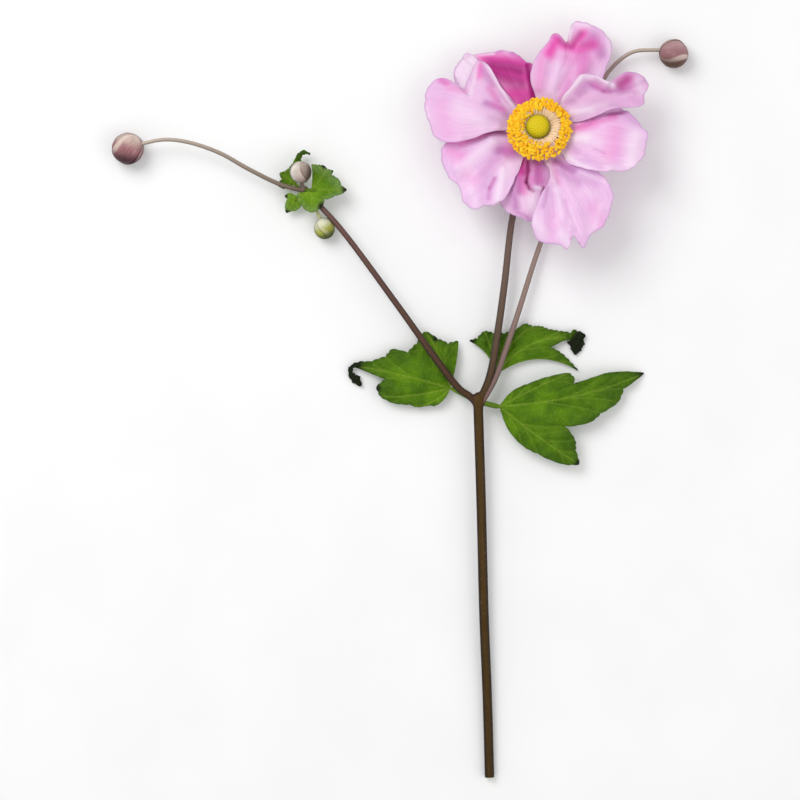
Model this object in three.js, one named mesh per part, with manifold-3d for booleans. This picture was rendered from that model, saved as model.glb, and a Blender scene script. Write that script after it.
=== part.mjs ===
// A Japanese anemone flower as picked: one cut flowering stem, lying on a flat surface.
//
// The bloom lies face up on its bent stalk. The stem forks once, above a whorl of three lobed leaves,
// into the stalk of the bloom, a left branch with a second small fork, and a right branch with one bud.
//
// Millimetres, +Z up. The shapes are laid out from the fork: +X to the right and +Y from the cut end
// towards the bloom, with the surface at z = 0. The exported group then moves that layout so that its
// origin is the middle of the underside of the whole flower.

import * as THREE from "three";
import { mergeVertices } from "three/addons/utils/BufferGeometryUtils.js";
import Module from "manifold-3d";

const wasm = await Module();
wasm.setup();

const UP = new THREE.Vector3(0, 0, 1);
const CLEAR = 0.3; // gap left where two separate pieces touch

// ---------------------------------------------------------------- driving dimensions

// The bloom: where the axis meets the lowest tepals, and the way the face leans from straight up.
const BLOOM_FOOT = new THREE.Vector3(22.4, 98.3, 12);
const BLOOM_LEAN = radians(12);
const BLOOM_LEAN_TOWARDS = radians(115);

// Tepals lie in four layers and share one dished profile, which starts at the receptacle.
const TEPAL_THICKNESS = 0.62;
const LAYER_STEP = 1.15;
const RECEPTACLE_RADIUS = 2.9;
const CLAW_START = RECEPTACLE_RADIUS + CLEAR + 0.1; // the end of a claw is straight, so a little more
const DISH_START = radians(20);
const DISH_BEND = radians(0.85); // per mm of length
const CLAW_SHARE = 0.3; // width of the claw, as a share of the ellipse's width there
const SHOULDER = 0.08; // how much broader the blade is towards its tip
const MARGIN_START = 0.1; // where on the way from the middle to the rim the teeth and notches start

// angle: the way the tepal points. layer: 0 is the lowest. Pairs are for the left and the right side, seen
// from the middle of the bloom, so left sides lie towards larger angles: halfWidth, claw (the share of the
// length by which that side has its full width) and edges (the lift of the edge). margin: teeth and
// notches as [degrees round the rim from the tip towards the left edge, height in mm, half width in
// degrees]. rolls: margins that roll up past a straight fold line. toward is the way the fold looks, in
// degrees from the tip towards the left edge, and start is the distance of the line from the claw.
const TEPALS = [
  { angle: 25, layer: 3, length: 40, halfWidth: [8, 5.6], claw: [0.3, 0.4], edges: [1.4, 1.0],
    ruffle: 0.7, phase: 0.4, margin: [[60, -3.2, 14], [91, 2.6, 12], [-57, 5, 12], [-30, 2.4, 24]],
    rolls: [{ toward: 30, start: 35, radius: 2.8, most: 130 }] },
  { angle: 67, layer: 1, length: 41, halfWidth: [11.6, 14], claw: [0.4, 0.5], edges: [1.2, -1.0],
    ruffle: 0.7, phase: 2.1, margin: [[34, -6.4, 10], [67, -1.2, 16], [13, 1.2, 14], [-38, 3.2, 24]],
    rolls: [{ toward: 6, start: 40, radius: 2.4, most: 110 }] },
  { angle: 117, layer: 0, length: 31, halfWidth: [18, 11.6], claw: [0.35, 0.35], edges: [-1.0, -1.2],
    ruffle: 0.4, phase: 4.2, margin: [[-52, -2.6, 29], [37, 7.4, 25]], rolls: [] },
  { angle: 136, layer: 1, length: 36.2, halfWidth: [10, 3], claw: [0.75, 0.9], edges: [-0.6, 0.6],
    ruffle: 0.4, phase: 0.9, margin: [[-31, 3.4, 20], [26, 1.4, 15]], rolls: [] },
  { angle: 160, layer: 2, length: 41.8, halfWidth: [13.2, 17.2], claw: [0.8, 0.8], edges: [1.2, 1.2],
    ruffle: 0.6, phase: 3.0,
    margin: [[-26, 1.4, 8], [-44, -10.6, 19], [-79, 2.4, 15], [75, 4.8, 24], [-64, -2.6, 8]], rolls: [] },
  { angle: 219, layer: 1, length: 36.4, halfWidth: [15, 17.2], claw: [0.9, 0.4], edges: [1.4, -1.2],
    ruffle: 0.8, phase: 5.1, margin: [[-8, -2.8, 18], [28, 1, 8], [46, -1.2, 10], [-60, 2.4, 20]],
    rolls: [] },
  { angle: 260, layer: 0, length: 32, halfWidth: [11.5, 11.5], claw: [0.7, 0.7], edges: [-1.2, -1.2],
    ruffle: 0.4, phase: 1.6, margin: [[-12, -1.2, 16]], rolls: [] },
  { angle: 294, layer: 1, length: 41.6, halfWidth: [16.2, 16.6], claw: [0.75, 1.0], edges: [-1.0, 1.4],
    ruffle: 0.7, phase: 3.7,
    margin: [[-9, 3.8, 6], [-17, -3.8, 6], [-24, 3.8, 7], [-59, 5.2, 22], [-110, -4.4, 22]], rolls: [] },
  { angle: 350, layer: 2, length: 37.3, halfWidth: [13.5, 12.8], claw: [0.3, 0.3], edges: [-1.0, 1.2],
    ruffle: 0.6, phase: 2.7, margin: [[16, 0.8, 8], [46, -0.6, 16], [-40, 1, 22]], rolls: [] },
];
const TEPAL_COLUMNS = 9;
const TEPAL_ROWS = 10;

// Heights above the lowest tepals, along the axis of the bloom.
const RECEPTACLE_TOP = 5;
const RING_FOOT = 4.4;
const RING_TOP = 5.6;
const RING_OUTER_RADIUS = 4.5;
const RING_SIDES = 24;
const CARPEL_RADIUS = 4.3;
const CARPEL_FLATNESS = 0.78;
const CARPEL_COUNT = 46;
const CARPEL_RELIEF = 0.35;

// Stamens stand in three rounds, the inner ones more upright.
const STAMEN_ROUNDS = [
  { count: 16, radius: 7.1, height: 9.6 },
  { count: 20, radius: 9.0, height: 9.3 },
  { count: 24, radius: 10.9, height: 8.4 },
];
const FILAMENT_RADIUS = 0.34;
const FILAMENT_ROOT = 0.7; // how deep a filament starts in the ring
const ANTHER_HALF_SIZE = [1.6, 1.05, 0.8]; // outwards, across and up

// Stem parts: points from the thick end to the thin one, with the radius at both ends.
const THICK_SIDES = 8;
const THIN_SIDES = 6;
const MAIN_STEM = {
  points: [[4.4, -140.5, 1.75], [3.6, -112, 2.5], [2.3, -80, 3.5], [1.2, -38, 4.9], [0, 0, 6]],
  radii: [1.75, 1.8], steps: 10, sides: THICK_SIDES,
};
const FLOWER_STALK = {
  points: [[0, -2, 6], [4.2, 8, 6.3], [7.1, 23.5, 6.2], [9.8, 42.5, 5.5], [12.8, 67.2, 4.4],
    [17, 84, 4.3], [20.4, 92.4, 6.0], [22.2, 96.6, 9.0]],
  radii: [1.45, 1.1], steps: 22, sides: THICK_SIDES,
};
const LEFT_BRANCH = {
  points: [[0.4, -2.4, 6], [-3.1, 1.2, 6.2], [-6.6, 3.6, 6.5], [-14, 12.8, 7.0], [-29.2, 34, 7.2],
    [-51.9, 64.4, 6.6], [-64.6, 77.8, 6.2]],
  radii: [1.35, 0.95], steps: 16, sides: THIN_SIDES,
};
const ARCHING_STALK = {
  points: [[-63.2, 77, 6.2], [-73.1, 79.6, 6.6], [-85, 85.3, 7.4], [-96.1, 91.4, 8.2],
    [-108, 95.3, 8.4], [-116.5, 96.1, 8.1], [-124.9, 94.6, 7.1]],
  radii: [0.85, 0.68], steps: 16, sides: THIN_SIDES,
};
const RIGHT_BRANCH = {
  points: [[0.6, -2.2, 6], [3.6, 2.6, 6.1], [6.5, 8, 6.0], [9.3, 15.6, 5.8], [14.5, 30.8, 5.0],
    [22.8, 56.6, 3.6], [35, 88, 2.4], [46.6, 118.6, 2.7], [51.6, 125, 3.8], [57.6, 128.9, 5.2],
    [67.9, 129.6, 5.9]],
  radii: [1.15, 0.68], steps: 26, sides: THIN_SIDES,
};
const SMALL_BUD_STALK = {
  points: [[-64.6, 77.2, 6.2], [-65.1, 79.0, 7.2], [-65.2, 80.8, 8.6]],
  radii: [0.8, 0.7], steps: 3, sides: THIN_SIDES,
};
const GREEN_BUD_STALK = {
  points: [[-64.2, 77.6, 6.0], [-61.8, 73.6, 5.8], [-59.8, 69.9, 5.4], [-58.3, 66.6, 4.8]],
  radii: [0.75, 0.65], steps: 5, sides: THIN_SIDES,
};
const STALKS = [MAIN_STEM, FLOWER_STALK, LEFT_BRANCH, ARCHING_STALK, RIGHT_BRANCH, SMALL_BUD_STALK,
  GREEN_BUD_STALK];
const FORKS = [
  { at: [0.2, -0.6, 6], size: [2.5, 3.4, 2.4] },
  { at: [-64.4, 77.6, 6.2], size: [1.7, 1.7, 1.5] },
];

// Buds: at is the middle, and along is the way from the stalk to the tip. The two that rest on the
// surface are set down onto it. The youngest is still green.
const BUD_TEPALS = 3;
const BUD_STEP = 0.07; // how far the edge of each closed tepal stands over the next, as a share
const BUD_TWIST = 0.5; // turn of the seams, in radians per radius of height
const BUDS = [
  { name: "bud_arching", at: [-129.8, 93.1, 6.05], radius: 6.05, along: [-0.94, -0.28, -0.2],
    turn: 0.3, rests: true },
  { name: "bud_right", at: [72.6, 128.2, 5.5], radius: 5.5, along: [0.95, -0.25, -0.12],
    turn: 2.6, rests: true },
  { name: "bud_small", at: [-65.5, 83.8, 11.5], radius: 4.15, along: [-0.05, 0.7, 0.7], turn: 1.1 },
  { name: "bud_green", at: [-56.9, 63.5, 4.4], radius: 4.05, along: [0.35, -0.92, -0.15], turn: 4.0,
    green: true },
];

// Leaves. stalk is the radius of the leaf stalk. It runs from inside the fork, where the room for the
// stem cuts it off, to at, where it meets the blade. The blade is a fan of curved rays from there to the
// margin: each ray is [way it starts, way its end lies, reach in mm], with ways in degrees from +X.
// heading is the way of the middle lobe. rise and fall are the heights gained halfway and at the tip,
// edge is the fall of the sides, and wave is the height of the ripples.
const LEAF_THICKNESS = 0.62;
const LEAF_HEART = 0.6; // radius left open round the top of the leaf stalk, which the stalk fills
const STALK_INTO_BLADE = 1.5;
const RAY_BEND = 1.3; // how late a ray turns towards its end
const LEAVES = [
  { name: "stem_leaf_left", stalk: 0.9, from: [-0.8, -0.6, 5.2], at: [-10.2, 4.2, 3.7], heading: 167,
    rows: 4, rise: 1.6, fall: -2.0, edge: 1.8, wave: 0.5, phase: 0.5,
    rays: [[74, 80, 17.6], [84, 93, 16.4], [94, 104, 18.6], [104, 114, 23], [116, 127, 20.6],
      [128, 140, 20.4], [138, 146, 26], [148, 154, 26.6], [157, 161, 30.6], [164, 167, 38],
      [171, 169, 31], [177, 172, 24.2], [185, 179, 27.4], [194, 187, 26], [205, 195, 21.6],
      [215, 202, 16], [226, 209, 14.4], [238, 218, 10], [250, 230, 8.4]] },
  { name: "stem_leaf_right", stalk: 0.8, from: [1.4, 0.4, 4.0], at: [6.8, 9.0, 2.6], heading: 40,
    rows: 4, rise: 0.6, fall: -1.0, edge: 0.8, wave: 0.3, phase: 2.2,
    rays: [[36, 3, 30.5], [40, 10, 28], [44, 19, 25.4], [48, 27, 22.6], [51, 27, 28], [54, 23, 34.5],
      [57, 30, 31.5], [61, 35, 28.4], [65, 41, 25.8], [69, 48, 24.4], [73, 53, 22.6], [77, 61, 21.8],
      [82, 67, 17.8], [87, 79, 15.6], [92, 94, 15.6], [96, 105, 16.8], [100, 117, 15.2],
      [104, 128, 16]] },
  { name: "stem_leaf_far", stalk: 1.0, from: [0.8, -1.0, 5.2], at: [8.0, -2.6, 4.6], heading: 4,
    rows: 4, rise: 3.4, fall: -2.4, edge: 2.0, wave: 0.7, phase: 3.9,
    rays: [[-74, -70, 8.4], [-64, -60, 16.4], [-55, -51, 22.4], [-46, -42, 32], [-39, -36, 36.5],
      [-32, -30, 32.4], [-26, -24, 30.5], [-20, -17, 25.4], [-14, -10, 34], [-9, -4, 37.4],
      [-4, 2, 44], [0, 8, 46.4], [4, 13, 55.5], [8, 16, 47], [12, 17.5, 41], [16, 17, 28.4],
      [21, 20.5, 29.6], [28, 26, 28.4], [36, 31, 21.4], [46, 38, 13.4], [58, 50, 7]] },
  { name: "bract_outer", stalk: 0.65, from: [-63.9, 77.6, 7.4], at: [-61.8, 77.4, 8.5], heading: 0,
    rows: 2, rise: 0.1, fall: -0.6, edge: 0.3, wave: 0.25, phase: 1.0,
    rays: [[-162, -168, 4.8], [-142, -146, 6.2], [-124, -127, 6], [-106, -108, 7.4], [-86, -88, 8.2],
      [-68, -69, 7.6], [-52, -52, 7], [-32, -35, 5.9], [-14, -13, 9], [-6, -7, 11.4], [2, 1, 13.2],
      [9, 9, 11.2], [18, 20, 11], [30, 37, 9.4], [38, 41, 10.9], [48, 52, 9.8], [56, 62, 10.2],
      [68, 76, 9.6], [80, 90, 9.4]] },
  { name: "bract_upper", stalk: 0.6, from: [-65.3, 78.2, 5.6], at: [-67.6, 79.6, 4.7], heading: 120,
    rows: 2, rise: 0, fall: -0.8, edge: 0.5, wave: 0.2, phase: 2.0,
    rays: [[60, 70, 7], [72, 80, 8.6], [81, 79, 12.6], [88, 86, 11.4], [97, 98, 8], [109, 112, 6.6],
      [122, 128, 6.4], [138, 144, 7.4], [154, 158, 5.6], [170, 180, 6.8], [186, 200, 4.4]] },
  { name: "bract_lower", stalk: 0.6, from: [-65.0, 76.9, 5.7], at: [-66.6, 75.4, 5.0], heading: 238,
    rows: 2, rise: 0.2, fall: -1.6, edge: 0.5, wave: 0.2, phase: 3.0,
    rays: [[162, 158, 3.4], [182, 178, 5], [196, 194, 4.2], [212, 213, 5.8], [228, 233, 7.6],
      [240, 246, 5.8], [252, 256, 5.6], [268, 272, 4.4], [284, 292, 3.4]] },
];

// ---------------------------------------------------------------- materials

const material = (color, roughness) =>
  new THREE.MeshStandardMaterial({ color, roughness, metalness: 0, flatShading: true });
const TEPAL_PINK = material(0xe9b4dc, 0.55);
const ANTHER_GOLD = material(0xf5b414, 0.7);
const CARPEL_GREEN = material(0xb3b21a, 0.6);
const STEM_BROWN = material(0x5b4032, 0.6);
const LEAF_GREEN = material(0x4d7a18, 0.5);
const BUD_MAUVE = material(0x9c7580, 0.75);
const BUD_GREEN = material(0xa9ad6a, 0.75);

// ---------------------------------------------------------------- small helpers

function radians(degrees) {
  return (degrees * Math.PI) / 180;
}

function smoothstep(value, low, high) {
  return THREE.MathUtils.smoothstep(value, low, high);
}

const vector = (p) => new THREE.Vector3(...p);

/** A closed geometry as a manifold solid. */
function solidOf(geometry) {
  const bare = geometry.clone();
  bare.deleteAttribute("normal");
  bare.deleteAttribute("uv");
  const merged = mergeVertices(bare, 1e-4);
  const mesh = new wasm.Mesh({
    numProp: 3,
    vertProperties: merged.attributes.position.array,
    triVerts: new Uint32Array(merged.index.array),
  });
  return new wasm.Manifold(mesh);
}

function geometryOf(solid) {
  const { vertProperties, triVerts } = solid.getMesh();
  return new THREE.BufferGeometry()
    .setAttribute("position", new THREE.BufferAttribute(vertProperties, 3))
    .setIndex(new THREE.BufferAttribute(triVerts, 1));
}

/** The geometries as one solid. */
const union = (geometries) => geometries.map(solidOf).reduce((a, b) => a.add(b));

/**
 * A thin curved blade. point(a, b) gives its middle surface for a and b from -1 to 1, and both faces are
 * split into triangles alike, so that they never cross.
 */
function bladeGeometry(point, columns, rows, thickness) {
  const middle = [];
  for (let j = 0; j <= rows; j++)
    for (let i = 0; i <= columns; i++)
      middle.push(point((2 * i) / columns - 1, (2 * j) / rows - 1));
  const at = (i, j) => j * (columns + 1) + i;
  const under = (rows + 1) * (columns + 1);
  const positions = new Float32Array(2 * under * 3);
  for (let j = 0; j <= rows; j++)
    for (let i = 0; i <= columns; i++) {
      const m = middle[at(i, j)];
      const along = new THREE.Vector3()
        .subVectors(middle[at(i, Math.min(j + 1, rows))], middle[at(i, Math.max(j - 1, 0))]);
      const across = new THREE.Vector3()
        .subVectors(middle[at(Math.min(i + 1, columns), j)], middle[at(Math.max(i - 1, 0), j)]);
      const half = across.cross(along).setLength(thickness / 2);
      m.clone().add(half).toArray(positions, at(i, j) * 3);
      m.clone().sub(half).toArray(positions, (at(i, j) + under) * 3);
    }
  const index = [];
  for (let j = 0; j < rows; j++)
    for (let i = 0; i < columns; i++) {
      const [p, q, r, s] = [at(i, j), at(i + 1, j), at(i + 1, j + 1), at(i, j + 1)];
      index.push(p, q, r, p, r, s);
      index.push(p + under, r + under, q + under, p + under, s + under, r + under);
    }
  const rim = [];
  for (let i = 0; i < columns; i++) rim.push(at(i, 0));
  for (let j = 0; j < rows; j++) rim.push(at(columns, j));
  for (let i = columns; i > 0; i--) rim.push(at(i, rows));
  for (let j = rows; j > 0; j--) rim.push(at(0, j));
  rim.forEach((p, k) => {
    const q = rim[(k + 1) % rim.length];
    index.push(p, p + under, q + under, p, q + under, q);
  });
  return new THREE.BufferGeometry()
    .setAttribute("position", new THREE.BufferAttribute(positions, 3))
    .setIndex(index);
}

/**
 * A round stalk along a smooth curve through the points, tapered from radii[0] to radii[1], with flat
 * ends. grow adds to it all round.
 */
function stalkGeometry({ points, radii, steps, sides }, grow = 0) {
  const curve = new THREE.CatmullRomCurve3(points.map(vector), false, "centripetal");
  const tube = new THREE.TubeGeometry(curve, steps, 1, sides, false);
  const place = tube.attributes.position;
  const centre = new THREE.Vector3();
  const corner = new THREE.Vector3();
  const middles = [];
  for (let ring = 0; ring <= steps; ring++) {
    curve.getPointAt(ring / steps, centre);
    const end = (ring === steps) - (ring === 0);
    const push = curve.getTangentAt(ring / steps).multiplyScalar(end * grow);
    const radius = THREE.MathUtils.lerp(radii[0], radii[1], ring / steps) + grow;
    for (let k = 0; k <= sides; k++) {
      const n = ring * (sides + 1) + k;
      corner.fromBufferAttribute(place, n).sub(centre).multiplyScalar(radius).add(centre).add(push);
      place.setXYZ(n, corner.x, corner.y, corner.z);
    }
    if (end) middles.push(...centre.clone().add(push));
  }
  const positions = [...place.array, ...middles];
  const index = [...tube.index.array];
  for (let k = 0; k < sides; k++) {
    const last = steps * (sides + 1) + k;
    index.push(place.count, k, k + 1, place.count + 1, last + 1, last);
  }
  return new THREE.BufferGeometry()
    .setAttribute("position", new THREE.Float32BufferAttribute(positions, 3))
    .setIndex(index);
}

// ---------------------------------------------------------------- tepals

/** Spreads a square over a round disc with no corners. */
function discFromSquare(a, b) {
  return [a * Math.sqrt(1 - (b * b) / 2), b * Math.sqrt(1 - (a * a) / 2)];
}

/** Rolls a flat point up past a fold line: x is across, s is along and h is the height over the blade. */
function rolled([x, s, h], { toward, start, radius, most }) {
  const nx = Math.sin(radians(toward));
  const ns = Math.cos(radians(toward));
  const past = x * nx + s * ns - start;
  if (past <= 0) return [x, s, h];
  const angle = Math.min(past / radius, radians(most));
  const straight = past - angle * radius;
  const moved = radius * Math.sin(angle) + straight * Math.cos(angle) - past;
  const lifted = radius * (1 - Math.cos(angle)) + straight * Math.sin(angle);
  return [x + nx * moved, s + ns * moved, h + lifted];
}

/** The shared dish: a point at length s and height h over the blade, as radius and height in the bloom. */
function onDish(s, h, layer) {
  const slope = DISH_START - DISH_BEND * s;
  const radius = CLAW_START + (Math.sin(DISH_START) - Math.sin(slope)) / DISH_BEND;
  const height = layer * LAYER_STEP + (Math.cos(slope) - Math.cos(DISH_START)) / DISH_BEND;
  return [radius - h * Math.sin(slope), height + h * Math.cos(slope)];
}

/** The middle surface of a tepal, in the frame of the bloom. */
function tepalPoint(tepal, a, b) {
  const [across, along] = discFromSquare(a, b);
  const part = (along + 1) / 2;
  const hand = across > 0 ? 0 : 1;
  const narrowing = THREE.MathUtils.lerp(CLAW_SHARE, 1, smoothstep(part, 0, tepal.claw[hand]));
  const plainX = tepal.halfWidth[hand] * across * narrowing * (1 + SHOULDER * along);
  const rim = smoothstep(Math.hypot(across, along), MARGIN_START, 1);
  const round = Math.atan2(across, along);
  const tooth = rim * tepal.margin.reduce((sum, [at, height, width]) =>
    sum + height * Math.exp(-(((round - radians(at)) / radians(width)) ** 2)), 0);
  const s = tepal.length * part + tooth * Math.cos(round);
  const x = plainX + tooth * Math.sin(round);
  const side = x / tepal.halfWidth[hand];
  const lift = tepal.edges[hand] * side * side * smoothstep(s, 3, 16);
  const ruffle = tepal.ruffle * smoothstep(part, 0.55, 0.95)
    * Math.sin(5.5 * across + 7 * part + tepal.phase);
  const flat = tepal.rolls.reduce(rolled, [x, s, lift + ruffle]);
  const [radius, height] = onDish(flat[1], flat[2], tepal.layer);
  const turn = radians(tepal.angle);
  return new THREE.Vector3(
    radius * Math.cos(turn) - flat[0] * Math.sin(turn),
    radius * Math.sin(turn) + flat[0] * Math.cos(turn),
    height,
  );
}

const tepalGeometry = (tepal) =>
  bladeGeometry((a, b) => tepalPoint(tepal, a, b), TEPAL_COLUMNS, TEPAL_ROWS, TEPAL_THICKNESS);

// ---------------------------------------------------------------- stamens and carpel head

/** One stamen: a three-sided filament from the ring, sunk well into it, and an anther on its end. */
function stamenGeometries(turn, radius, height) {
  const out = new THREE.Vector3(Math.cos(turn), Math.sin(turn), 0);
  const foot = out.clone()
    .multiplyScalar(RING_OUTER_RADIUS - FILAMENT_ROOT)
    .setZ(RING_TOP - FILAMENT_ROOT);
  const end = out.clone().multiplyScalar(radius).setZ(height);
  const along = end.clone().sub(foot);
  const filament = new THREE.CylinderGeometry(FILAMENT_RADIUS, FILAMENT_RADIUS, along.length(), 3, 1)
    .applyQuaternion(new THREE.Quaternion().setFromUnitVectors(
      new THREE.Vector3(0, 1, 0), along.clone().normalize()))
    .translate(...foot.clone().add(end).multiplyScalar(0.5));
  const anther = new THREE.OctahedronGeometry(1, 0)
    .scale(...ANTHER_HALF_SIZE)
    .rotateY(-Math.atan2(along.z, radius - RING_OUTER_RADIUS) * 0.6)
    .rotateZ(turn)
    .translate(...end);
  return [filament, anther];
}

function stamensGeometry() {
  const ring = new THREE.LatheGeometry(
    [[RECEPTACLE_RADIUS + CLEAR, RING_FOOT], [RING_OUTER_RADIUS, RING_FOOT + 0.3],
      [RING_OUTER_RADIUS, RING_TOP], [RECEPTACLE_RADIUS + CLEAR, RING_TOP],
      [RECEPTACLE_RADIUS + CLEAR, RING_FOOT]].map(([r, z]) => new THREE.Vector2(r, z)), RING_SIDES)
    .rotateX(Math.PI / 2);
  const stamens = STAMEN_ROUNDS.flatMap(({ count, radius, height }, round) =>
    Array.from({ length: count }, (_, k) => {
      const turn = (2 * Math.PI * (k + round / 3)) / count;
      return stamenGeometries(turn, radius + 0.35 * Math.sin(5 * k), height + 0.3 * Math.cos(3 * k));
    }).flat());
  return geometryOf(union([ring, ...stamens]));
}

/** The head of carpels: a flattened ball with one low boss for each carpel, set in a spiral. */
function carpelHeadGeometry() {
  const bosses = Array.from({ length: CARPEL_COUNT }, (_, k) => {
    const z = 1 - (2 * (k + 0.5)) / CARPEL_COUNT;
    const turn = k * Math.PI * (3 - Math.sqrt(5));
    const flat = Math.sqrt(1 - z * z);
    return new THREE.Vector3(flat * Math.cos(turn), flat * Math.sin(turn), z);
  });
  const pitch = Math.sqrt((4 * Math.PI) / CARPEL_COUNT);
  const ball = mergeVertices(new THREE.IcosahedronGeometry(1, 5).deleteAttribute("normal")
    .deleteAttribute("uv"), 1e-4);
  const place = ball.attributes.position;
  const p = new THREE.Vector3();
  for (let k = 0; k < place.count; k++) {
    p.fromBufferAttribute(place, k).normalize();
    const nearest = Math.min(...bosses.map((boss) => boss.distanceTo(p))) / (pitch / 2);
    p.multiplyScalar(CARPEL_RADIUS - CARPEL_RELIEF * Math.min(1, nearest) ** 2);
    place.setXYZ(k, p.x, p.y, p.z * CARPEL_FLATNESS);
  }
  return ball.translate(0, 0, RECEPTACLE_TOP + CLEAR + CARPEL_RADIUS * CARPEL_FLATNESS);
}

// ---------------------------------------------------------------- stem

const bloomAxis = new THREE.Vector3(
  Math.sin(BLOOM_LEAN) * Math.cos(BLOOM_LEAN_TOWARDS),
  Math.sin(BLOOM_LEAN) * Math.sin(BLOOM_LEAN_TOWARDS),
  Math.cos(BLOOM_LEAN),
);
const bloomTurn = new THREE.Quaternion().setFromUnitVectors(UP, bloomAxis);

/** The top of the flower stalk, which the tepals, the stamens and the carpels stand on. */
function receptacleGeometry() {
  const profile = [[0, -3.4], [1.1, -3.4], [1.6, -2.0], [RECEPTACLE_RADIUS, -0.9],
    [RECEPTACLE_RADIUS, RECEPTACLE_TOP - 0.4], [RECEPTACLE_RADIUS - 0.4, RECEPTACLE_TOP],
    [0, RECEPTACLE_TOP]];
  return new THREE.LatheGeometry(profile.map(([r, z]) => new THREE.Vector2(r, z)), 16)
    .rotateX(Math.PI / 2)
    .applyQuaternion(bloomTurn)
    .translate(...BLOOM_FOOT);
}

function forkGeometry({ at, size }, grow) {
  return new THREE.IcosahedronGeometry(1, 1).scale(...size.map((half) => half + grow)).translate(...at);
}

/** Every stalk and fork as one solid, grown by some millimetres all round. */
function stemSolid(grow) {
  return union([
    ...STALKS.map((stalk) => stalkGeometry(stalk, grow)),
    ...FORKS.map((fork) => forkGeometry(fork, grow)),
  ]);
}

const stemGeometry = () => geometryOf(stemSolid(0).add(solidOf(receptacleGeometry())));

const stemRoom = stemSolid(CLEAR);

/** The geometries joined, with room cut for the stem where it holds or crosses them. */
const fittedToStem = (geometries) => geometryOf(union(geometries).subtract(stemRoom));

// ---------------------------------------------------------------- buds

/** A round bud: three closed tepals wrap it, and the edge of each stands a little over the next. */
function budGeometry({ at, radius, along, turn, rests }) {
  const ball = new THREE.SphereGeometry(1, 18, 10).rotateX(Math.PI / 2);
  const bare = mergeVertices(ball.deleteAttribute("normal").deleteAttribute("uv"), 1e-4);
  const place = bare.attributes.position;
  const p = new THREE.Vector3();
  for (let k = 0; k < place.count; k++) {
    p.fromBufferAttribute(place, k);
    const round = Math.hypot(p.x, p.y);
    const around = (BUD_TEPALS * (Math.atan2(p.y, p.x) + BUD_TWIST * p.z + turn)) / (2 * Math.PI);
    const withinTepal = around - Math.floor(around);
    p.multiplyScalar(1 - BUD_STEP * (1 - withinTepal) * round);
    place.setXYZ(k, p.x, p.y, p.z);
  }
  bare
    .scale(radius, radius, radius)
    .applyQuaternion(new THREE.Quaternion().setFromUnitVectors(UP, vector(along).normalize()))
    .translate(...at);
  bare.computeBoundingBox();
  if (rests) bare.translate(0, 0, -bare.boundingBox.min.z);
  return fittedToStem([bare]);
}

// ---------------------------------------------------------------- leaves

/** The middle surface of a leaf: a runs along the margin, from ray to ray, and b from heart to margin. */
function leafPoint(leaf, a, b) {
  const place = ((a + 1) / 2) * (leaf.rays.length - 1);
  const [start, end, reach] = leaf.rays[Math.round(place)];
  const out = THREE.MathUtils.lerp(LEAF_HEART, reach, (b + 1) / 2);
  const way = radians(THREE.MathUtils.lerp(start, end, (out / reach) ** RAY_BEND));
  const longest = Math.max(...leaf.rays.map((ray) => ray[2]));
  const off = way - radians(leaf.heading);
  const along = (out / longest) * Math.cos(off);
  const across = (out / longest) * Math.sin(off);
  const height = 4 * leaf.rise * along * (1 - along) + leaf.fall * along
    - 2 * leaf.edge * across ** 2
    + leaf.wave * (out / longest) * Math.sin(6 * off + leaf.phase);
  return new THREE.Vector3(
    leaf.at[0] + out * Math.cos(way),
    leaf.at[1] + out * Math.sin(way),
    leaf.at[2] + height,
  );
}

/** A lobed, toothed blade with its own short stalk, which ends at the fork. */
function leafGeometry(leaf) {
  const columns = leaf.rays.length - 1;
  const blade = bladeGeometry((a, b) => leafPoint(leaf, -a, b), columns, leaf.rows, LEAF_THICKNESS);
  const heading = radians(leaf.heading);
  const end = vector(leaf.at).add(
    new THREE.Vector3(Math.cos(heading), Math.sin(heading), 0).multiplyScalar(STALK_INTO_BLADE));
  const stalk = stalkGeometry({
    points: [leaf.from, leaf.at, end.toArray()],
    radii: [leaf.stalk, 0.8 * leaf.stalk],
    steps: 4,
    sides: THIN_SIDES,
  });
  return fittedToStem([blade, stalk]);
}

// ---------------------------------------------------------------- the whole flower

/** A named mesh. */
function piece(name, geometry, finish) {
  const mesh = new THREE.Mesh(geometry, finish);
  mesh.name = name;
  return mesh;
}

const bloom = new THREE.Group();
bloom.position.copy(BLOOM_FOOT);
bloom.quaternion.copy(bloomTurn);
TEPALS.forEach((tepal, k) => bloom.add(piece(`tepal_${k + 1}`, tepalGeometry(tepal), TEPAL_PINK)));
bloom.add(piece("stamens", stamensGeometry(), ANTHER_GOLD));
bloom.add(piece("carpel_head", carpelHeadGeometry(), CARPEL_GREEN));

const layout = new THREE.Group();
layout.add(bloom);
layout.add(piece("flower_stem", stemGeometry(), STEM_BROWN));
for (const leaf of LEAVES) layout.add(piece(leaf.name, leafGeometry(leaf), LEAF_GREEN));
for (const bud of BUDS)
  layout.add(piece(bud.name, budGeometry(bud), bud.green ? BUD_GREEN : BUD_MAUVE));

const reach = new THREE.Box3().setFromObject(layout, true);
layout.position.set(-(reach.min.x + reach.max.x) / 2, -(reach.min.y + reach.max.y) / 2, -reach.min.z);

const flower = new THREE.Group();
flower.add(layout);

export default flower;
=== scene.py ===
"""A Japanese anemone flower as picked: the dressed model of one cut flowering stem, lying face up.

Shapes are laid out in millimetres from the fork of the stem, +X to the right and +Y from the cut end
towards the bloom, with the surface at z = 0. LAYOUT_SHIFT moves that layout to the origin of the frame.
"""

import math

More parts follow.
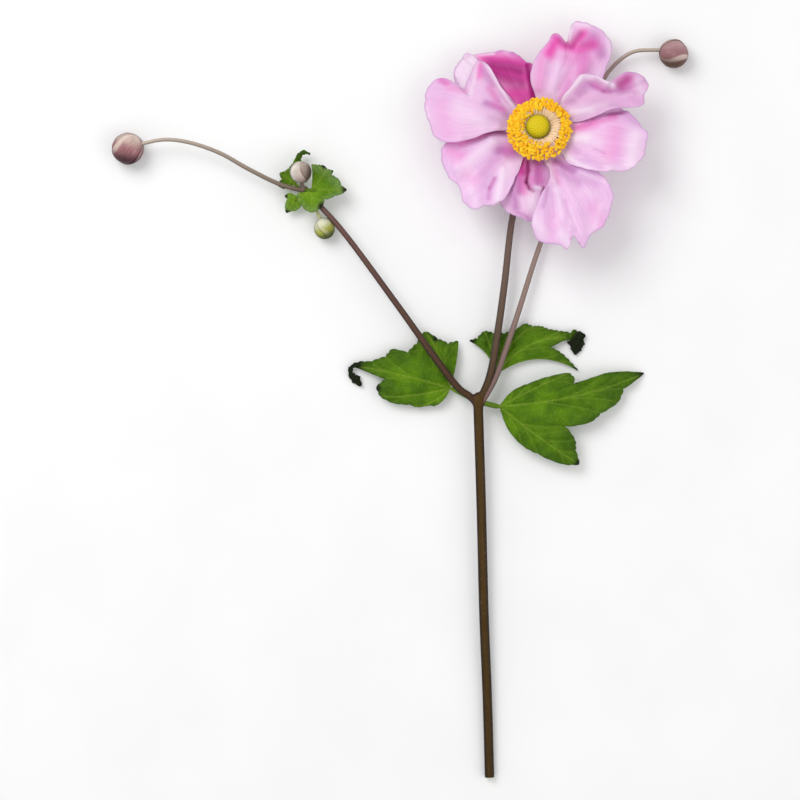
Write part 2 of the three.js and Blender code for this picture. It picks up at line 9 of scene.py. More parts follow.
import bmesh
import bpy
import numpy as np
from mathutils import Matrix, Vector


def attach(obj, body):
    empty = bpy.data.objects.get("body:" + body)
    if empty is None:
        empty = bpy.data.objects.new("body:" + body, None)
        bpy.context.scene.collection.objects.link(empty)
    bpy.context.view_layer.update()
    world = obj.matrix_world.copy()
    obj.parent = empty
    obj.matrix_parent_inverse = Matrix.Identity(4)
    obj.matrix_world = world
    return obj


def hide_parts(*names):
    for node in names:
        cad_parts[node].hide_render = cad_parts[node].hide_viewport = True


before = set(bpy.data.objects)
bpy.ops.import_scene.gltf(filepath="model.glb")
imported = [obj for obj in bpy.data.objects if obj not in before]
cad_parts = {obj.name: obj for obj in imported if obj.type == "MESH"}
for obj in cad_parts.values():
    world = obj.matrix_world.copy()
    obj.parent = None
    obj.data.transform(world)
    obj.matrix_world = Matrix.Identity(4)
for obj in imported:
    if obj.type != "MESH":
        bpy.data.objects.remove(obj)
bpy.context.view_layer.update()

MM = 0.001
LAYOUT_SHIFT = np.array([28.899, 0.209, 0.0])
CHANCE = np.random.default_rng(11)

# ---------------------------------------------------------------- driving dimensions, in mm and degrees

# The bloom: where the axis meets the lowest tepals, and the way the face leans from straight up.
BLOOM_FOOT = (22.4, 98.3, 12.0)
BLOOM_LEAN = 12
BLOOM_LEAN_TOWARDS = 115

# Tepals lie in four layers and share one dished profile, which starts at the receptacle.
TEPAL_MIDDLE_THICKNESS = 0.34
TEPAL_RIM_THICKNESS = 0.16
TEPAL_COLUMNS = 110
TEPAL_ROWS = 120
LAYER_STEP = 1.15
CLAW_START = 3.3
DISH_START = math.radians(20)
DISH_BEND = math.radians(0.85)
CLAW_SHARE = 0.3
SHOULDER = 0.08
MARGIN_START = 0.1
RIM_RUFFLE = 0.22
FINE_TEETH = ((11, 0.17), (19, 0.14), (31, 0.09))  # how many round the rim, and their height
FINE_TEETH_HALF_WIDTH = 14  # the half width of the tepal on which they have that height

# angle: the way the tepal points. Pairs are for the left and the right side, seen from the middle of the
# bloom: half_width, claw (the share of the length by which that side has its full width) and edges (the
# lift of the edge). margin: teeth and notches as (degrees round the rim from the tip towards the left
# edge, height, half width in degrees). rolls: (toward, start, radius, most). The rest are soft lines on
# the flat blade, from (x, s) to (x, s) with x to the left and s from the claw: folds have a height and a
# width, and the marks of deep pink, rose, mauve and near white have a width and a strength. The marks are
# partly the tepal's own colour and partly painted light: the deep pink, rose and mauve are also painted
# shade in folds, in curls and under the edges of overlapping tepals, and the near white is also painted
# highlight on ridges, lips and bright edges. dusty: how greyed the pink is.
TEPALS = [
    dict(name="tepal_1", angle=25, layer=3, length=40, half_width=(8, 5.6), claw=(0.3, 0.4),
         edges=(1.4, 1.0), ruffle=0.7, phase=0.4, dusty=0.75,
         margin=[(60, -3.2, 14), (91, 2.6, 12), (-57, 5, 12), (-30, 2.4, 24)], rolls=[(30, 35, 2.8, 130)],
         folds=[(2, 25, -1.5, 34, -0.9, 1.2), (-1.5, 12, -3.5, 33, 0.9, 1.6), (6, 9.5, 9.5, 19.5, 0.9, 1),
                (3, 12, 5, 27, -0.7, 1.5), (7.5, 24.5, 2, 28.5, 1.3, 0.8), (6, 22.5, 1, 27, -1.2, 1.2),
                (2, 32, 2.5, 34.5, -1.5, 1.8)],
         deep_and_painted_shade=[(1.5, 31.5, 2.5, 34.5, 1.9, 0.55)],
         rose=[(2, 32, 2.5, 34.5, 2.4, 0.5), (6, 22.5, 2.5, 25, 1.4, 0.25)],
         mauve=[(5.5, 16, 7, 20.5, 2, 0.6), (7, 20.5, 2, 25, 1.3, 0.75), (2, 25.5, 0, 29, 0.9, 0.6),
                (4.5, 10.5, 4, 13, 1.6, 0.45), (-5.5, 32, -8, 34, 2, 0.3), (0.5, 19, -6, 30, 2.4, 0.2),
                (0, 31, 2, 35.5, 2.8, 0.6)],
         pale=[(6, 9.5, 9.5, 19.5, 0.9, 0.95), (10, 19.5, 8.5, 23.5, 1.2, 0.8),
               (7.5, 24.5, 2, 28.5, 0.8, 1), (0.5, 37.5, -4.5, 37.5, 1.5, 0.5),
               (0, 11, -2.5, 17.5, 1.6, 0.8), (0, 15, -3.5, 23, 1.6, 0.35)]),
    dict(name="tepal_2", angle=67, layer=1, length=41, half_width=(11.6, 14), claw=(0.4, 0.5),
         edges=(1.2, -1.0), ruffle=0.7, phase=2.1, dusty=0.4,
         margin=[(34, -6.4, 10), (67, -1.2, 16), (13, 1.2, 14), (-38, 3.2, 24)], rolls=[(6, 40, 2.4, 110)],
         folds=[(5.5, 31.5, 1, 31, -0.8, 1.4), (1, 31.5, 0, 37, -1, 1.5), (4, 37.5, 3, 33, 0.9, 0.9),
                (6, 12, 9, 28, 0.9, 1.8), (-4, 12, -8.5, 33, 0.9, 2.2), (1.2, 12, 2.6, 26, 0.7, 1.6),
                (-1.5, 14, -3.5, 30, -0.6, 1.4)],
         deep_and_painted_shade=[(5.5, 31.5, 1, 31, 1.4, 0.4), (1, 31.5, 0, 37, 1.6, 0.5), (-2.5, 33.5, -5, 34, 2.2, 0.35)],
         rose=[(7.5, 25, 7, 31, 2.6, 1), (7, 30, 0, 30.5, 3, 0.9), (0.5, 31.5, -1, 37, 2.2, 0.9),
               (-1, 30.5, -5.5, 34.5, 3, 0.8), (0, 27, -5, 28, 4, 0.4), (-4, 30.5, -6.5, 22, 3, 0.4),
               (9, 22, 6, 11.5, 2, 0.35), (-3, 21.5, -3.5, 12.5, 2.4, 0.25)],
         mauve=[(-5, 37, -10, 32.5, 3, 0.75), (-4.5, 30.5, -7.5, 24, 3.2, 0.6), (8.5, 32, 7, 32, 0.9, 0.6),
                (-3.5, 18, -3.5, 9, 1.2, 0.35)],
         pale=[(4.5, 40, -1.5, 41, 1.1, 0.5), (4, 37.5, 3, 33, 0.8, 0.8), (-9.5, 41, -14, 33, 1.3, 0.45),
               (3, 22.5, 0.5, 11.5, 1.6, 0.35), (-9.5, 23.5, -12, 25.5, 2, 0.3)]),
    dict(name="tepal_3", angle=117, layer=0, length=31, half_width=(18, 11.6), claw=(0.35, 0.35),
         edges=(-1.0, -1.2), ruffle=0.4, phase=4.2, dusty=0.2, margin=[(-52, -2.6, 29), (37, 7.4, 25)],
         rolls=[],
         folds=[(3, 10, 6, 27, 0.6, 1.6), (-1, 10, -1, 28, 0.7, 1.6), (-4.5, 10, -8, 25, 0.7, 1.6),
                (1, 10, 2.6, 27, -0.6, 1.2)],
         deep_and_painted_shade=[(4.5, 27.5, -4, 20.5, 3.6, 0.85), (4, 24, -2, 16.5, 4, 0.75), (2.5, 19, -0.5, 10.5, 3.6, 0.32),
               (-7.2, 21, -3.6, 8.5, 1.5, 1), (6.5, 26, 3.5, 11.5, 1, 0.6)],
         rose=[(6.5, 32, -7, 21.5, 3.2, 1), (6.5, 27, -6, 16.5, 5, 1), (2.5, 14, -3.5, 11, 5, 1),
               (0.5, 10.5, 0, 4, 4, 1)],
         mauve=[(8, 34, -1.5, 30.5, 0.9, 0.5), (-4.5, 28, -8.5, 21, 0.9, 0.7), (6.5, 31, 5, 17.5, 1.2, 0.5)],
         pale=[(14.5, 33.5, 9.5, 33.5, 3, 0.95), (11, 35, 1.5, 31.5, 0.8, 0.8),
               (13.5, 29.5, 17, 24.5, 4, 0.8)]),
    dict(name="tepal_4", angle=136, layer=1, length=36.2, half_width=(10, 3), claw=(0.75, 0.9),
         edges=(-0.6, 0.6), ruffle=0.4, phase=0.9, dusty=0.25, margin=[(-31, 3.4, 20), (26, 1.4, 15)],
         rolls=[],
         folds=[(-1, 14, -1.5, 35, 0.5, 1.4), (3, 16, 4, 33, -0.4, 1.3)], deep_and_painted_shade=[], rose=[],
         mauve=[(-0.5, 36.5, -3.5, 35, 0.9, 0.35)],
         pale=[(-3.5, 33.5, 6.5, 29.5, 3.2, 1), (0, 36, 6, 32.5, 3, 0.8)]),
    dict(name="tepal_5", angle=160, layer=2, length=41.8, half_width=(13.2, 17.2), claw=(0.8, 0.8),
         edges=(1.2, 1.2), ruffle=0.6, phase=3.0, dusty=0.35,
         margin=[(-26, 1.4, 8), (-44, -10.6, 19), (-79, 2.4, 15), (75, 4.8, 24), (-64, -2.6, 8)], rolls=[],
         folds=[(-17, 24, -4.5, 7, 1.2, 1), (-14.5, 25, -4, 10, -0.7, 1.6), (-9, 26, -4.5, 12, -0.7, 2),
                (-2, 12, -3, 34, 0.7, 2), (3, 12, 6, 36, 0.8, 2.4), (7, 14, 12.5, 30, -0.6, 2),
                (12, 22, 5, 11, 0.8, 1.4)],
         deep_and_painted_shade=[(-14.5, 23.5, -4, 9, 0.5, 0.2)],
         rose=[(-15.5, 26, -11.5, 24.5, 1.5, 0.6), (-6, 37.5, -5, 34.5, 1.6, 0.5),
               (-3.5, 33.5, -4.5, 28, 1.6, 0.3), (2.5, 34, 12.5, 28, 3, 0.15), (-8.5, 19, -5, 15, 1.6, 0.35),
               (-3.5, 16, -2.5, 12, 1.4, 0.35)],
         mauve=[(-14.5, 25, -10, 19, 1.7, 0.6), (-8.5, 19.5, -5, 15, 1.8, 0.35),
                (-2.5, 18.5, -2.5, 12.5, 1.5, 0.8), (-2.5, 13, 0, 7.5, 2.2, 0.6),
                (-5.5, 37.5, -5, 35.5, 1.2, 0.5), (2.5, 15.5, 1, 9, 1.6, 0.3)],
         pale=[(-17, 24, -10.5, 16, 0.85, 1), (-10.5, 16, -4.5, 7, 0.85, 1), (2, 27.5, 5, 17.5, 3.6, 0.45),
               (6, 39.5, 11.5, 36, 1.2, 0.4), (-16.5, 27, -3, 25, 0.9, 0.6)]),
    dict(name="tepal_6", angle=219, layer=1, length=36.4, half_width=(15, 17.2), claw=(0.9, 0.4),
         edges=(1.4, -1.2), ruffle=0.8, phase=5.1, dusty=0.1,
         margin=[(-8, -2.8, 18), (28, 1, 8), (46, -1.2, 10), (-60, 2.4, 20)], rolls=[],
         folds=[(4.5, 21.5, 6, 25, -0.8, 0.9), (6, 25, 9, 27.5, -0.7, 0.9), (4, 17, 11.5, 25.5, 0.8, 1.8),
                (0.5, 14, 3, 33, 0.7, 1.5), (-2, 12, -3, 34, -0.7, 1.6), (-7.5, 13, -7.5, 29, 1, 2.2),
                (-11, 14, -13, 24, -0.6, 1.6)],
         deep_and_painted_shade=[(-14, 19, -11.5, 11.5, 1.4, 0.5), (-11.5, 11.5, -7, 6.5, 1.5, 0.7),
               (4.5, 21.5, 6, 25, 0.5, 0.08)],
         rose=[(-18, 26.5, -14.5, 22.5, 1, 0.5), (-14.5, 22.5, -11.5, 12, 1.8, 0.6),
               (-14.5, 27, -10, 25.5, 3, 0.35), (-4.5, 27.5, 1, 27, 2.2, 0.2),
               (-2.5, 9, -0.5, 11, 2.6, 0.25), (4.5, 21.5, 6, 25, 0.9, 0.2), (6, 25, 9, 27.5, 0.9, 0.1)],
         mauve=[(-10, 12.5, -6.5, 7, 1.3, 0.6), (-3.5, 13, 0.5, 9.5, 3, 1), (-1.5, 15, 0, 23, 2.8, 0.5),
                (4.5, 21, 6, 25, 1, 0.55), (6, 25, 9, 28, 1.2, 0.4), (4, 25.5, 8, 30, 1.6, 0.2)],
         pale=[(-7, 13, -6.5, 26, 2.2, 0.6), (-6.5, 28.5, -3.5, 26, 2, 0.4), (4, 17, 11.5, 25.5, 1.5, 0.8),
               (3.5, 14, 6.5, 18, 1.5, 0.5), (1.5, 30.5, 8, 33, 1.6, 0.4)]),
    dict(name="tepal_7", angle=260, layer=0, length=32, half_width=(11.5, 11.5), claw=(0.7, 0.7),
         edges=(-1.2, -1.2), ruffle=0.4, phase=1.6, dusty=0.5, margin=[(-12, -1.2, 16)], rolls=[],
         folds=[(-2, 9, -1, 17, -1.3, 0.8), (-1, 17, 0.5, 19.5, -1.2, 0.8), (0.5, 9, 1.5, 17.5, 1.2, 1.3),
                (2, 19, 5, 19, 0.9, 0.9), (-4.5, 12, -4.5, 26, 0.7, 1.3)],
         deep_and_painted_shade=[(-4.5, 8.5, -3.5, 13.5, 1.7, 0.55), (-2, 9, -1, 13, 1.05, 1), (-1, 13, -1, 17, 0.75, 1),
               (-1, 17, 0.5, 19.5, 0.7, 0.95), (0.5, 19.5, 2, 20.5, 0.7, 0.9),
               (5.5, 18.5, 5.5, 21, 0.7, 0.8)],
         rose=[(-4.5, 8.5, -3.5, 13.5, 2.6, 0.9), (-3.5, 13.5, -1.5, 20, 2.4, 0.4),
               (1.5, 9, 3.5, 16, 2.4, 0.3), (1, 15.5, 1.5, 18, 1, 0.4), (-1, 21.5, 1, 22, 1, 0.6)],
         mauve=[(1.5, 9, 3.5, 16, 3, 1), (-6, 20, -3, 27.5, 1.7, 0.75), (-4.5, 14, -3, 21, 2.4, 0.9),
                (-2.5, 29, 3.5, 31, 0.9, 0.6)],
         pale=[(3, 19, 4.2, 19.2, 0.95, 0.7), (1.5, 22.5, 4, 27.5, 2.2, 0.8), (-1, 23.5, 0, 27, 1.4, 0.35)]),
    dict(name="tepal_8", angle=294, layer=1, length=41.6, half_width=(16.2, 16.6), claw=(0.75, 1.0),
         edges=(-1.0, 1.4), ruffle=0.7, phase=3.7, dusty=0.1,
         margin=[(-9, 3.8, 6), (-17, -3.8, 6), (-24, 3.8, 7), (-59, 5.2, 22), (-110, -4.4, 22)], rolls=[],
         folds=[(-2.2, 10, -2.6, 18, 0.7, 1.2), (-2.6, 18, -6, 33, 0.6, 1.4), (-1, 12, -3, 38, -0.6, 1.4),
                (0.6, 12, 0.2, 36, 0.5, 1.4), (2.4, 12, 4, 37, -0.5, 1.6), (4.5, 14, 8.5, 34, 0.6, 2.2),
                (-5, 20, -10.5, 36, -0.6, 1.8), (-8, 20, -14, 33, 0.6, 1.6)],
         deep_and_painted_shade=[(0.5, 10, 4, 15, 1.4, 0.18)],
         rose=[(-1.5, 11, -2, 18.5, 1.6, 0.3), (6.5, 32.5, 7, 40, 3, 0.2), (-10.5, 30, -12.5, 35, 3, 0.15)],
         mauve=[(1, 11, 5, 17, 2, 0.9), (0.5, 14.5, 5, 21.5, 2.4, 0.5), (-6, 19, -10.5, 25, 0.9, 0.45),
                (-2, 26, -3, 32, 0.7, 0.3), (-6, 39.5, -4, 42.5, 0.6, 0.7), (4.5, 19.5, 10, 24.5, 2, 0.25),
                (-5.5, 21.5, -8.5, 30, 0.7, 0.25)],
         pale=[(-1.5, 9.5, -3.5, 21.5, 1, 0.55), (-2.5, 20, -6, 30.5, 1.3, 0.4),
               (-1.5, 29.5, -2.5, 34.5, 1, 0.3), (-15, 28, -14.5, 34, 2.4, 0.6),
               (-8.5, 36.5, -7.5, 41, 1.8, 0.7), (7, 18.5, 14, 25.5, 0.8, 0.4), (9, 33, 2, 41, 1.2, 0.3)]),
    dict(name="tepal_9", angle=350, layer=2, length=37.3, half_width=(13.5, 12.8), claw=(0.3, 0.3),
         edges=(-1.0, 1.2), ruffle=0.6, phase=2.7, dusty=0.1,
         margin=[(16, 0.8, 8), (46, -0.6, 16), (-40, 1, 22)], rolls=[],
         folds=[(3.4, 12, 6.5, 30, 0.8, 2), (-1, 10, -1.5, 33, 0.8, 2.2), (-4.5, 18.5, -5.5, 23, -0.5, 0.7),
                (-4, 12, -7, 30, -0.6, 1.8), (-8, 12, -11, 26, 0.7, 1.6), (8.5, 16, 11.5, 27, -0.8, 1.2)],
         deep_and_painted_shade=[(9.5, 22.5, 11, 26, 1, 0.5), (1.5, 8.5, 4.5, 16, 0.7, 0.15)],
         rose=[(2, 11, 5.5, 17.5, 2.1, 0.65), (5.5, 17.5, 8.5, 24, 1.8, 0.5), (4, 25, -5, 26, 4, 0.3)],
         mauve=[(9, 22, 11, 27, 1.2, 0.5), (10, 28, 7.5, 34, 1.6, 0.35), (-4.5, 18.5, -5.5, 23, 0.45, 0.35),
                (-3.5, 8.5, -6.5, 13, 1.6, 0.35), (-9, 16, -10.5, 22.5, 1.6, 0.2)],
         pale=[(-1, 9, -1, 15.5, 2.2, 0.95), (3, 32.5, -8, 32.5, 3, 0.75), (-7, 6.5, -11, 14, 0.8, 0.9),
               (-11, 14, -13, 20.5, 0.8, 0.8), (-1.5, 15.5, -2.5, 20, 2, 0.35),
               (-11.5, 24.5, -10, 31, 1.4, 0.4)]),
]

# The stamens, in rounds from the carpels outwards. The height is that of the anther above the claws, and
# no anther stands between the ways open_from and open_to, where only pale filaments show. The collar is
# the pale mass that their feet make, as a closed profile of (radius, height).
RING_TOP = 5.6
RING_INNER_RADIUS = 3.2
RING_OUTER_RADIUS = 4.5
COLLAR = ((3.2, 4.4), (4.5, 4.7), (8.2, 8.3), (7.8, 9.0), (6.2, 8.8), (4.9, 8.3), (4.0, 7.0), (3.2, 5.6))
STAMEN_ROUNDS = [
    dict(count=44, radius=5.6, height=9.0, tilt=50, open_from=-80, open_to=105),
    dict(count=64, radius=7.1, height=9.6, tilt=35, open_from=-55, open_to=75),
    dict(count=54, radius=8.4, height=9.6, tilt=20, open_from=0, open_to=0),
    dict(count=60, radius=9.6, height=9.1, tilt=5, open_from=0, open_to=0),
    dict(count=60, radius=10.7, height=8.3, tilt=-10, open_from=0, open_to=0),
]
RING_OFFSET = 0.09  # the ring of stamens reaches farther out to one side, by this share
RING_OFFSET_TOWARDS = -60
FILAMENT_RADIUS = 0.2
FILAMENT_SIDES = 6
ANTHER_HALF_SIZE = (1.1, 0.7, 0.62)

# The head of carpels.
CARPEL_MIDDLE = 8.65
CARPEL_RADIUS = 4.5
CARPEL_FLATNESS = 0.78
CARPEL_COUNT = 200
CARPEL_RELIEF = 0.17
RECEPTACLE_RADIUS = 2.9

# Stem parts: points from the thick end to the thin one, the radius at both ends, and how mauve, how olive
# and how cream the skin is at both ends.
MAIN_STEM = dict(
    points=[(4.4, -140.5, 1.75), (3.6, -112, 2.5), (2.3, -80, 3.5), (1.2, -38, 4.9), (0, 0, 6)],
    radii=(1.75, 1.8), mauve=(0.0, 0.05), olive=(0.4, 0.55), cream=(0, 0))
FLOWER_STALK = dict(
    points=[(0, -2, 6), (4.2, 8, 6.3), (7.1, 23.5, 6.2), (9.8, 42.5, 5.5), (12.8, 67.2, 4.4),
            (17, 84, 4.3), (20.4, 92.4, 6.0), (22.2, 96.6, 9.0)],
    radii=(1.45, 1.1), mauve=(0.05, 0.5), olive=(0.45, 0.2), cream=(0, 0.25))
LEFT_BRANCH = dict(
    points=[(0.4, -2.4, 6), (-3.1, 1.2, 6.2), (-6.6, 3.6, 6.5), (-14, 12.8, 7.0), (-29.2, 34, 7.2),
            (-51.9, 64.4, 6.6), (-64.6, 77.8, 6.2)],
    radii=(1.35, 0.95), mauve=(0.1, 0.6), olive=(0.35, 0.2), cream=(0, 0.05))
ARCHING_STALK = dict(
    points=[(-63.2, 77, 6.2), (-73.1, 79.6, 6.6), (-85, 85.3, 7.4), (-96.1, 91.4, 8.2),
            (-108, 95.3, 8.4), (-116.5, 96.1, 8.1), (-124.9, 94.6, 7.1)],
    radii=(0.85, 0.68), mauve=(0.35, 0.35), olive=(0.55, 0.6), cream=(0.15, 0.9))
RIGHT_BRANCH = dict(
    points=[(0.6, -2.2, 6), (3.6, 2.6, 6.1), (6.5, 8, 6.0), (9.3, 15.6, 5.8), (14.5, 30.8, 5.0),
            (22.8, 56.6, 3.6), (35, 88, 2.4), (46.6, 118.6, 2.7), (51.6, 125, 3.8), (57.6, 128.9, 5.2),
            (67.9, 129.6, 5.9)],
    radii=(1.15, 0.68), mauve=(0.65, 0.75), olive=(0.1, 0.5), cream=(0.1, 0.8))
SMALL_BUD_STALK = dict(
    points=[(-64.6, 77.2, 6.2), (-65.1, 79.0, 7.2), (-65.2, 80.8, 8.6)],
    radii=(0.8, 0.7), mauve=(0.6, 0.5), olive=(0.2, 0.4), cream=(0.3, 0.3))
GREEN_BUD_STALK = dict(
    points=[(-64.2, 77.6, 6.0), (-61.8, 73.6, 5.8), (-59.8, 69.9, 5.4), (-58.3, 66.6, 4.8)],
    radii=(0.75, 0.65), mauve=(0.0, 0.0), olive=(1.0, 1.0), cream=(0.6, 0.5))
STALKS = [MAIN_STEM, FLOWER_STALK, LEFT_BRANCH, ARCHING_STALK, RIGHT_BRANCH, SMALL_BUD_STALK,
          GREEN_BUD_STALK]
STALK_STEP = 0.8
STALK_SIDES = 20

# The pale pith on the cut end: a disc that stands a little out of it, as a share of the stem's radius.
PITH_SHARE = 0.84
PITH_STEP = 0.05
PITH_SIDES = 24

# Forks: the middle and half the size of the swelling, and how far from it the stalks are joined into it.
FORKS = [
    dict(at=(0.2, -0.6, 6), size=(2.5, 3.4, 2.4), reach=9),
    dict(at=(-64.4, 77.6, 6.2), size=(1.7, 1.7, 1.5), reach=5),
]
FORK_VOXEL = 0.26

# Buds: at is the middle and along the way from the stalk to the tip. A bud that rests is set down on the
# surface. seam is how pale the margins of its tepals are. colours are the dark one, painted as shade on
# the side dark_side, the middle one and the light one, painted as highlight on the side opposite, which
# shows as much as the silver highlight share says.
BUD_TEPALS = 3
BUD_STEP = 0.07
BUD_TWIST = 0.5
BUD_EDGE = 0.06  # the share of a tepal's width in which its edge steps down to the next
BUDS = [
    dict(name="bud_arching", at=(-129.8, 93.1), radius=6.05, along=(-0.94, -0.28, -0.2), turn=-1.0,
         rests=True, slot="mauve_bud", dark_side=(-0.25, -1, -0.1), silver_highlight=0.85, seam=0.6,
         colours=("#3e1622", "#a26c72", "#e0ccc0")),
    dict(name="bud_right", at=(72.6, 128.2), radius=5.5, along=(0.95, -0.25, -0.12), turn=2.7,
         rests=True, slot="mauve_bud", dark_side=(-0.1, -1, -0.1), silver_highlight=0.6, seam=0.7,
         colours=("#583e30", "#9c6e74", "#c6a2a4")),
    dict(name="bud_small", at=(-65.5, 83.8, 11.5), radius=4.15, along=(-0.05, 0.7, 0.7), turn=1.1,
         rests=False, slot="mauve_bud", dark_side=(0.9, -0.2, -0.1), silver_highlight=0.95, seam=0.3,
         colours=("#4a3c32", "#b09a90", "#ebe4da")),
    dict(name="bud_green", at=(-56.9, 63.5, 4.4), radius=4.05, along=(0.35, -0.92, -0.15), turn=4.0,
         rests=False, slot="green_bud", dark_side=(0.5, -1, -0.2), silver_highlight=0.9, seam=0.3,
         colours=("#3f4a10", "#a9ad44", "#efecd8")),
]

# Leaves: the blade is a fan of curved rays (way it starts, way its end lies, reach), in degrees from +X.
# lobes are the rays of the main veins, and dark are dead black-green spots as (x, y, radius). fresh is how
# yellow-green the blade is at its heart, and frost how pale towards its margin. curls are tips rolled in
# on themselves, as strips along a path with a width at each point, and dead is how dried they are.
LEAF_THICKNESS = 0.32
LEAF_HEART = 0.6
RAY_BEND = 1.3
RAY_STEPS = 9
LEAF_ROWS = 54
QUILT_WIDTH = 1.5  # the half width of the furrow along a vein
FRESH_REACH = 5
CURL_THICKNESS = 0.26
CURL_LIFT = 0.15  # the least height of a curl above the surface
LEAVES = [
    dict(name="stem_leaf_left", stalk=0.9, start=(-0.8, -0.6, 5.2), at=(-10.2, 4.2, 3.7), heading=167,
         rise=1.6, fall=-2.0, edge=1.8, wave=0.5, phase=0.5, lobes=(3, 9, 13, 16), quilt=0.8, scallop=0.45,
         rays=[(74, 80, 17.6), (84, 93, 16.4), (94, 104, 18.6), (104, 114, 23), (116, 127, 20.6),
               (128, 140, 20.4), (138, 146, 26), (148, 154, 26.6), (157, 161, 30.6), (164, 167, 38),
               (171, 169, 31), (177, 172, 24.2), (185, 179, 27.4), (194, 187, 26), (205, 195, 21.6),
               (215, 202, 16), (226, 209, 14.4), (238, 218, 10), (250, 230, 8.4)],
         dark=[(-46.5, 12.6, 4.2), (-37.4, 4.0, 1.6), (-15.6, 22.6, 1.2)],
         curls=[dict(path=[(-40.5, 12.8, 2.4), (-44, 13.1, 2.5), (-47, 11.9, 2.2), (-47.2, 9.4, 1.9),
                           (-45.4, 7.4, 1.8), (-43.4, 5.0, 1.5)],
                     widths=(2.6, 2.0, 1.5, 2.0, 3.8, 1.0), roll=70, dead=1.0)]),
    dict(name="stem_leaf_right", stalk=0.8, start=(1.4, 0.4, 4.0), at=(6.8, 9.0, 2.6), heading=40,
         rise=0.6, fall=-1.0, edge=0.8, wave=0.3, phase=2.2, lobes=(0, 5, 10, 15, 17), quilt=0.7,
         scallop=0.45,
         rays=[(36, 3, 30.5), (40, 10, 28), (44, 19, 25.4), (48, 27, 22.6), (51, 27, 28), (54, 23, 34.5),
               (57, 30, 31.5), (61, 35, 28.4), (65, 41, 25.8), (69, 48, 24.4), (73, 53, 22.6),
               (77, 61, 21.8), (82, 67, 17.8), (87, 79, 15.6), (92, 94, 15.6), (96, 105, 16.8),
               (100, 117, 15.2), (104, 128, 16)],
         dark=[(37.2, 22.4, 3.6), (-2.9, 21.6, 2.2), (37, 10.6, 2.0)],
         curls=[dict(path=[(34.4, 24.6, 2.4), (36.6, 22.8, 2.3), (36.8, 19.8, 1.7), (36.3, 16.6, 1.2)],
                     widths=(3.0, 6.6, 5.4, 1.0), roll=40, dead=1.0)]),
    dict(name="stem_leaf_far", stalk=1.0, start=(0.8, -1.0, 5.2), at=(8.0, -2.6, 4.6), heading=4,
         rise=3.4, fall=-2.4, edge=2.0, wave=0.7, phase=3.9, lobes=(4, 12, 17), quilt=0.8, scallop=0.45,
         rays=[(-74, -70, 8.4), (-64, -60, 16.4), (-55, -51, 22.4), (-46, -42, 32), (-39, -36, 36.5),
               (-32, -30, 32.4), (-26, -24, 30.5), (-20, -17, 25.4), (-14, -10, 34), (-9, -4, 37.4),
               (-4, 2, 44), (0, 8, 46.4), (4, 13, 55.5), (8, 16, 47), (12, 17.5, 41), (16, 17, 28.4),
               (21, 20.5, 29.6), (28, 26, 28.4), (36, 31, 21.4), (46, 38, 13.4), (58, 50, 7)],
         dark=[(62, 10, 2.6), (37.6, -24, 2.0)], curls=[]),
    dict(name="bract_outer", stalk=0.65, start=(-63.9, 77.6, 7.4), at=(-61.8, 77.4, 8.5), heading=0,
         rise=0.1, fall=-0.6, edge=0.3, wave=0.25, phase=1.0, lobes=(1, 4, 10, 15), quilt=0.35,
         scallop=0.25, fresh=0.8, frost=0.35,
         rays=[(-162, -168, 4.8), (-142, -146, 6.2), (-124, -127, 6), (-106, -108, 7.4), (-86, -88, 8.2),
               (-68, -69, 7.6), (-52, -52, 7), (-32, -35, 5.9), (-14, -13, 9), (-6, -7, 11.4), (2, 1, 13.2),
               (9, 9, 11.2), (18, 20, 11), (30, 37, 9.4), (38, 41, 10.9), (48, 52, 9.8), (56, 62, 10.2),
               (68, 76, 9.6), (80, 90, 9.4)],
         dark=[(-48.6, 77.6, 1.9), (-53, 84.6, 1.3), (-57, 86.4, 1), (-50.4, 81.2, 0.7),
               (-57.8, 71.4, 1.6)], curls=[]),
    dict(name="bract_upper", stalk=0.6, start=(-65.3, 78.2, 5.6), at=(-67.6, 79.6, 4.7), heading=120,
         rise=0, fall=-0.8, edge=0.5, wave=0.2, phase=2.0, lobes=(2, 7), quilt=0.25, scallop=0.2,
         rays=[(60, 70, 7), (72, 80, 8.6), (81, 79, 12.6), (88, 86, 11.4), (97, 98, 8), (109, 112, 6.6),
               (122, 128, 6.4), (138, 144, 7.4), (154, 158, 5.6), (170, 180, 6.8), (186, 200, 4.4)],
         dark=[(-73.6, 79.6, 1.4)],
         curls=[dict(path=[(-66.6, 87.6, 4.6), (-66.3, 90.2, 5.2), (-64.6, 91.6, 5.4), (-62.2, 91.0, 5.0)],
                     widths=(1.8, 2.1, 1.7, 0.6), roll=80, dead=0.35)]),
    dict(name="bract_lower", stalk=0.6, start=(-65.0, 76.9, 5.7), at=(-66.6, 75.4, 5.0), heading=238,
         rise=0.2, fall=-1.6, edge=0.5, wave=0.2, phase=3.0, lobes=(1, 4), quilt=0.25, scallop=0.2,
         fresh=0.8, frost=0.35,
         rays=[(162, 158, 3.4), (182, 178, 5), (196, 194, 4.2), (212, 213, 5.8), (228, 233, 7.6),
               (240, 246, 5.8), (252, 256, 5.6), (268, 272, 4.4), (284, 292, 3.4)],
         dark=[(-71.4, 75.4, 0.9), (-70.9, 69.4, 1.2)], curls=[]),
]

# Short hairs on the stalks and the buds.
HAIR_BASE = 0.045
STALK_HAIRS_PER_MM = 4
STALK_HAIR_LENGTH = (0.25, 0.6)
BUD_HAIRS = 160
BUD_HAIR_LENGTH = (0.4, 0.9)

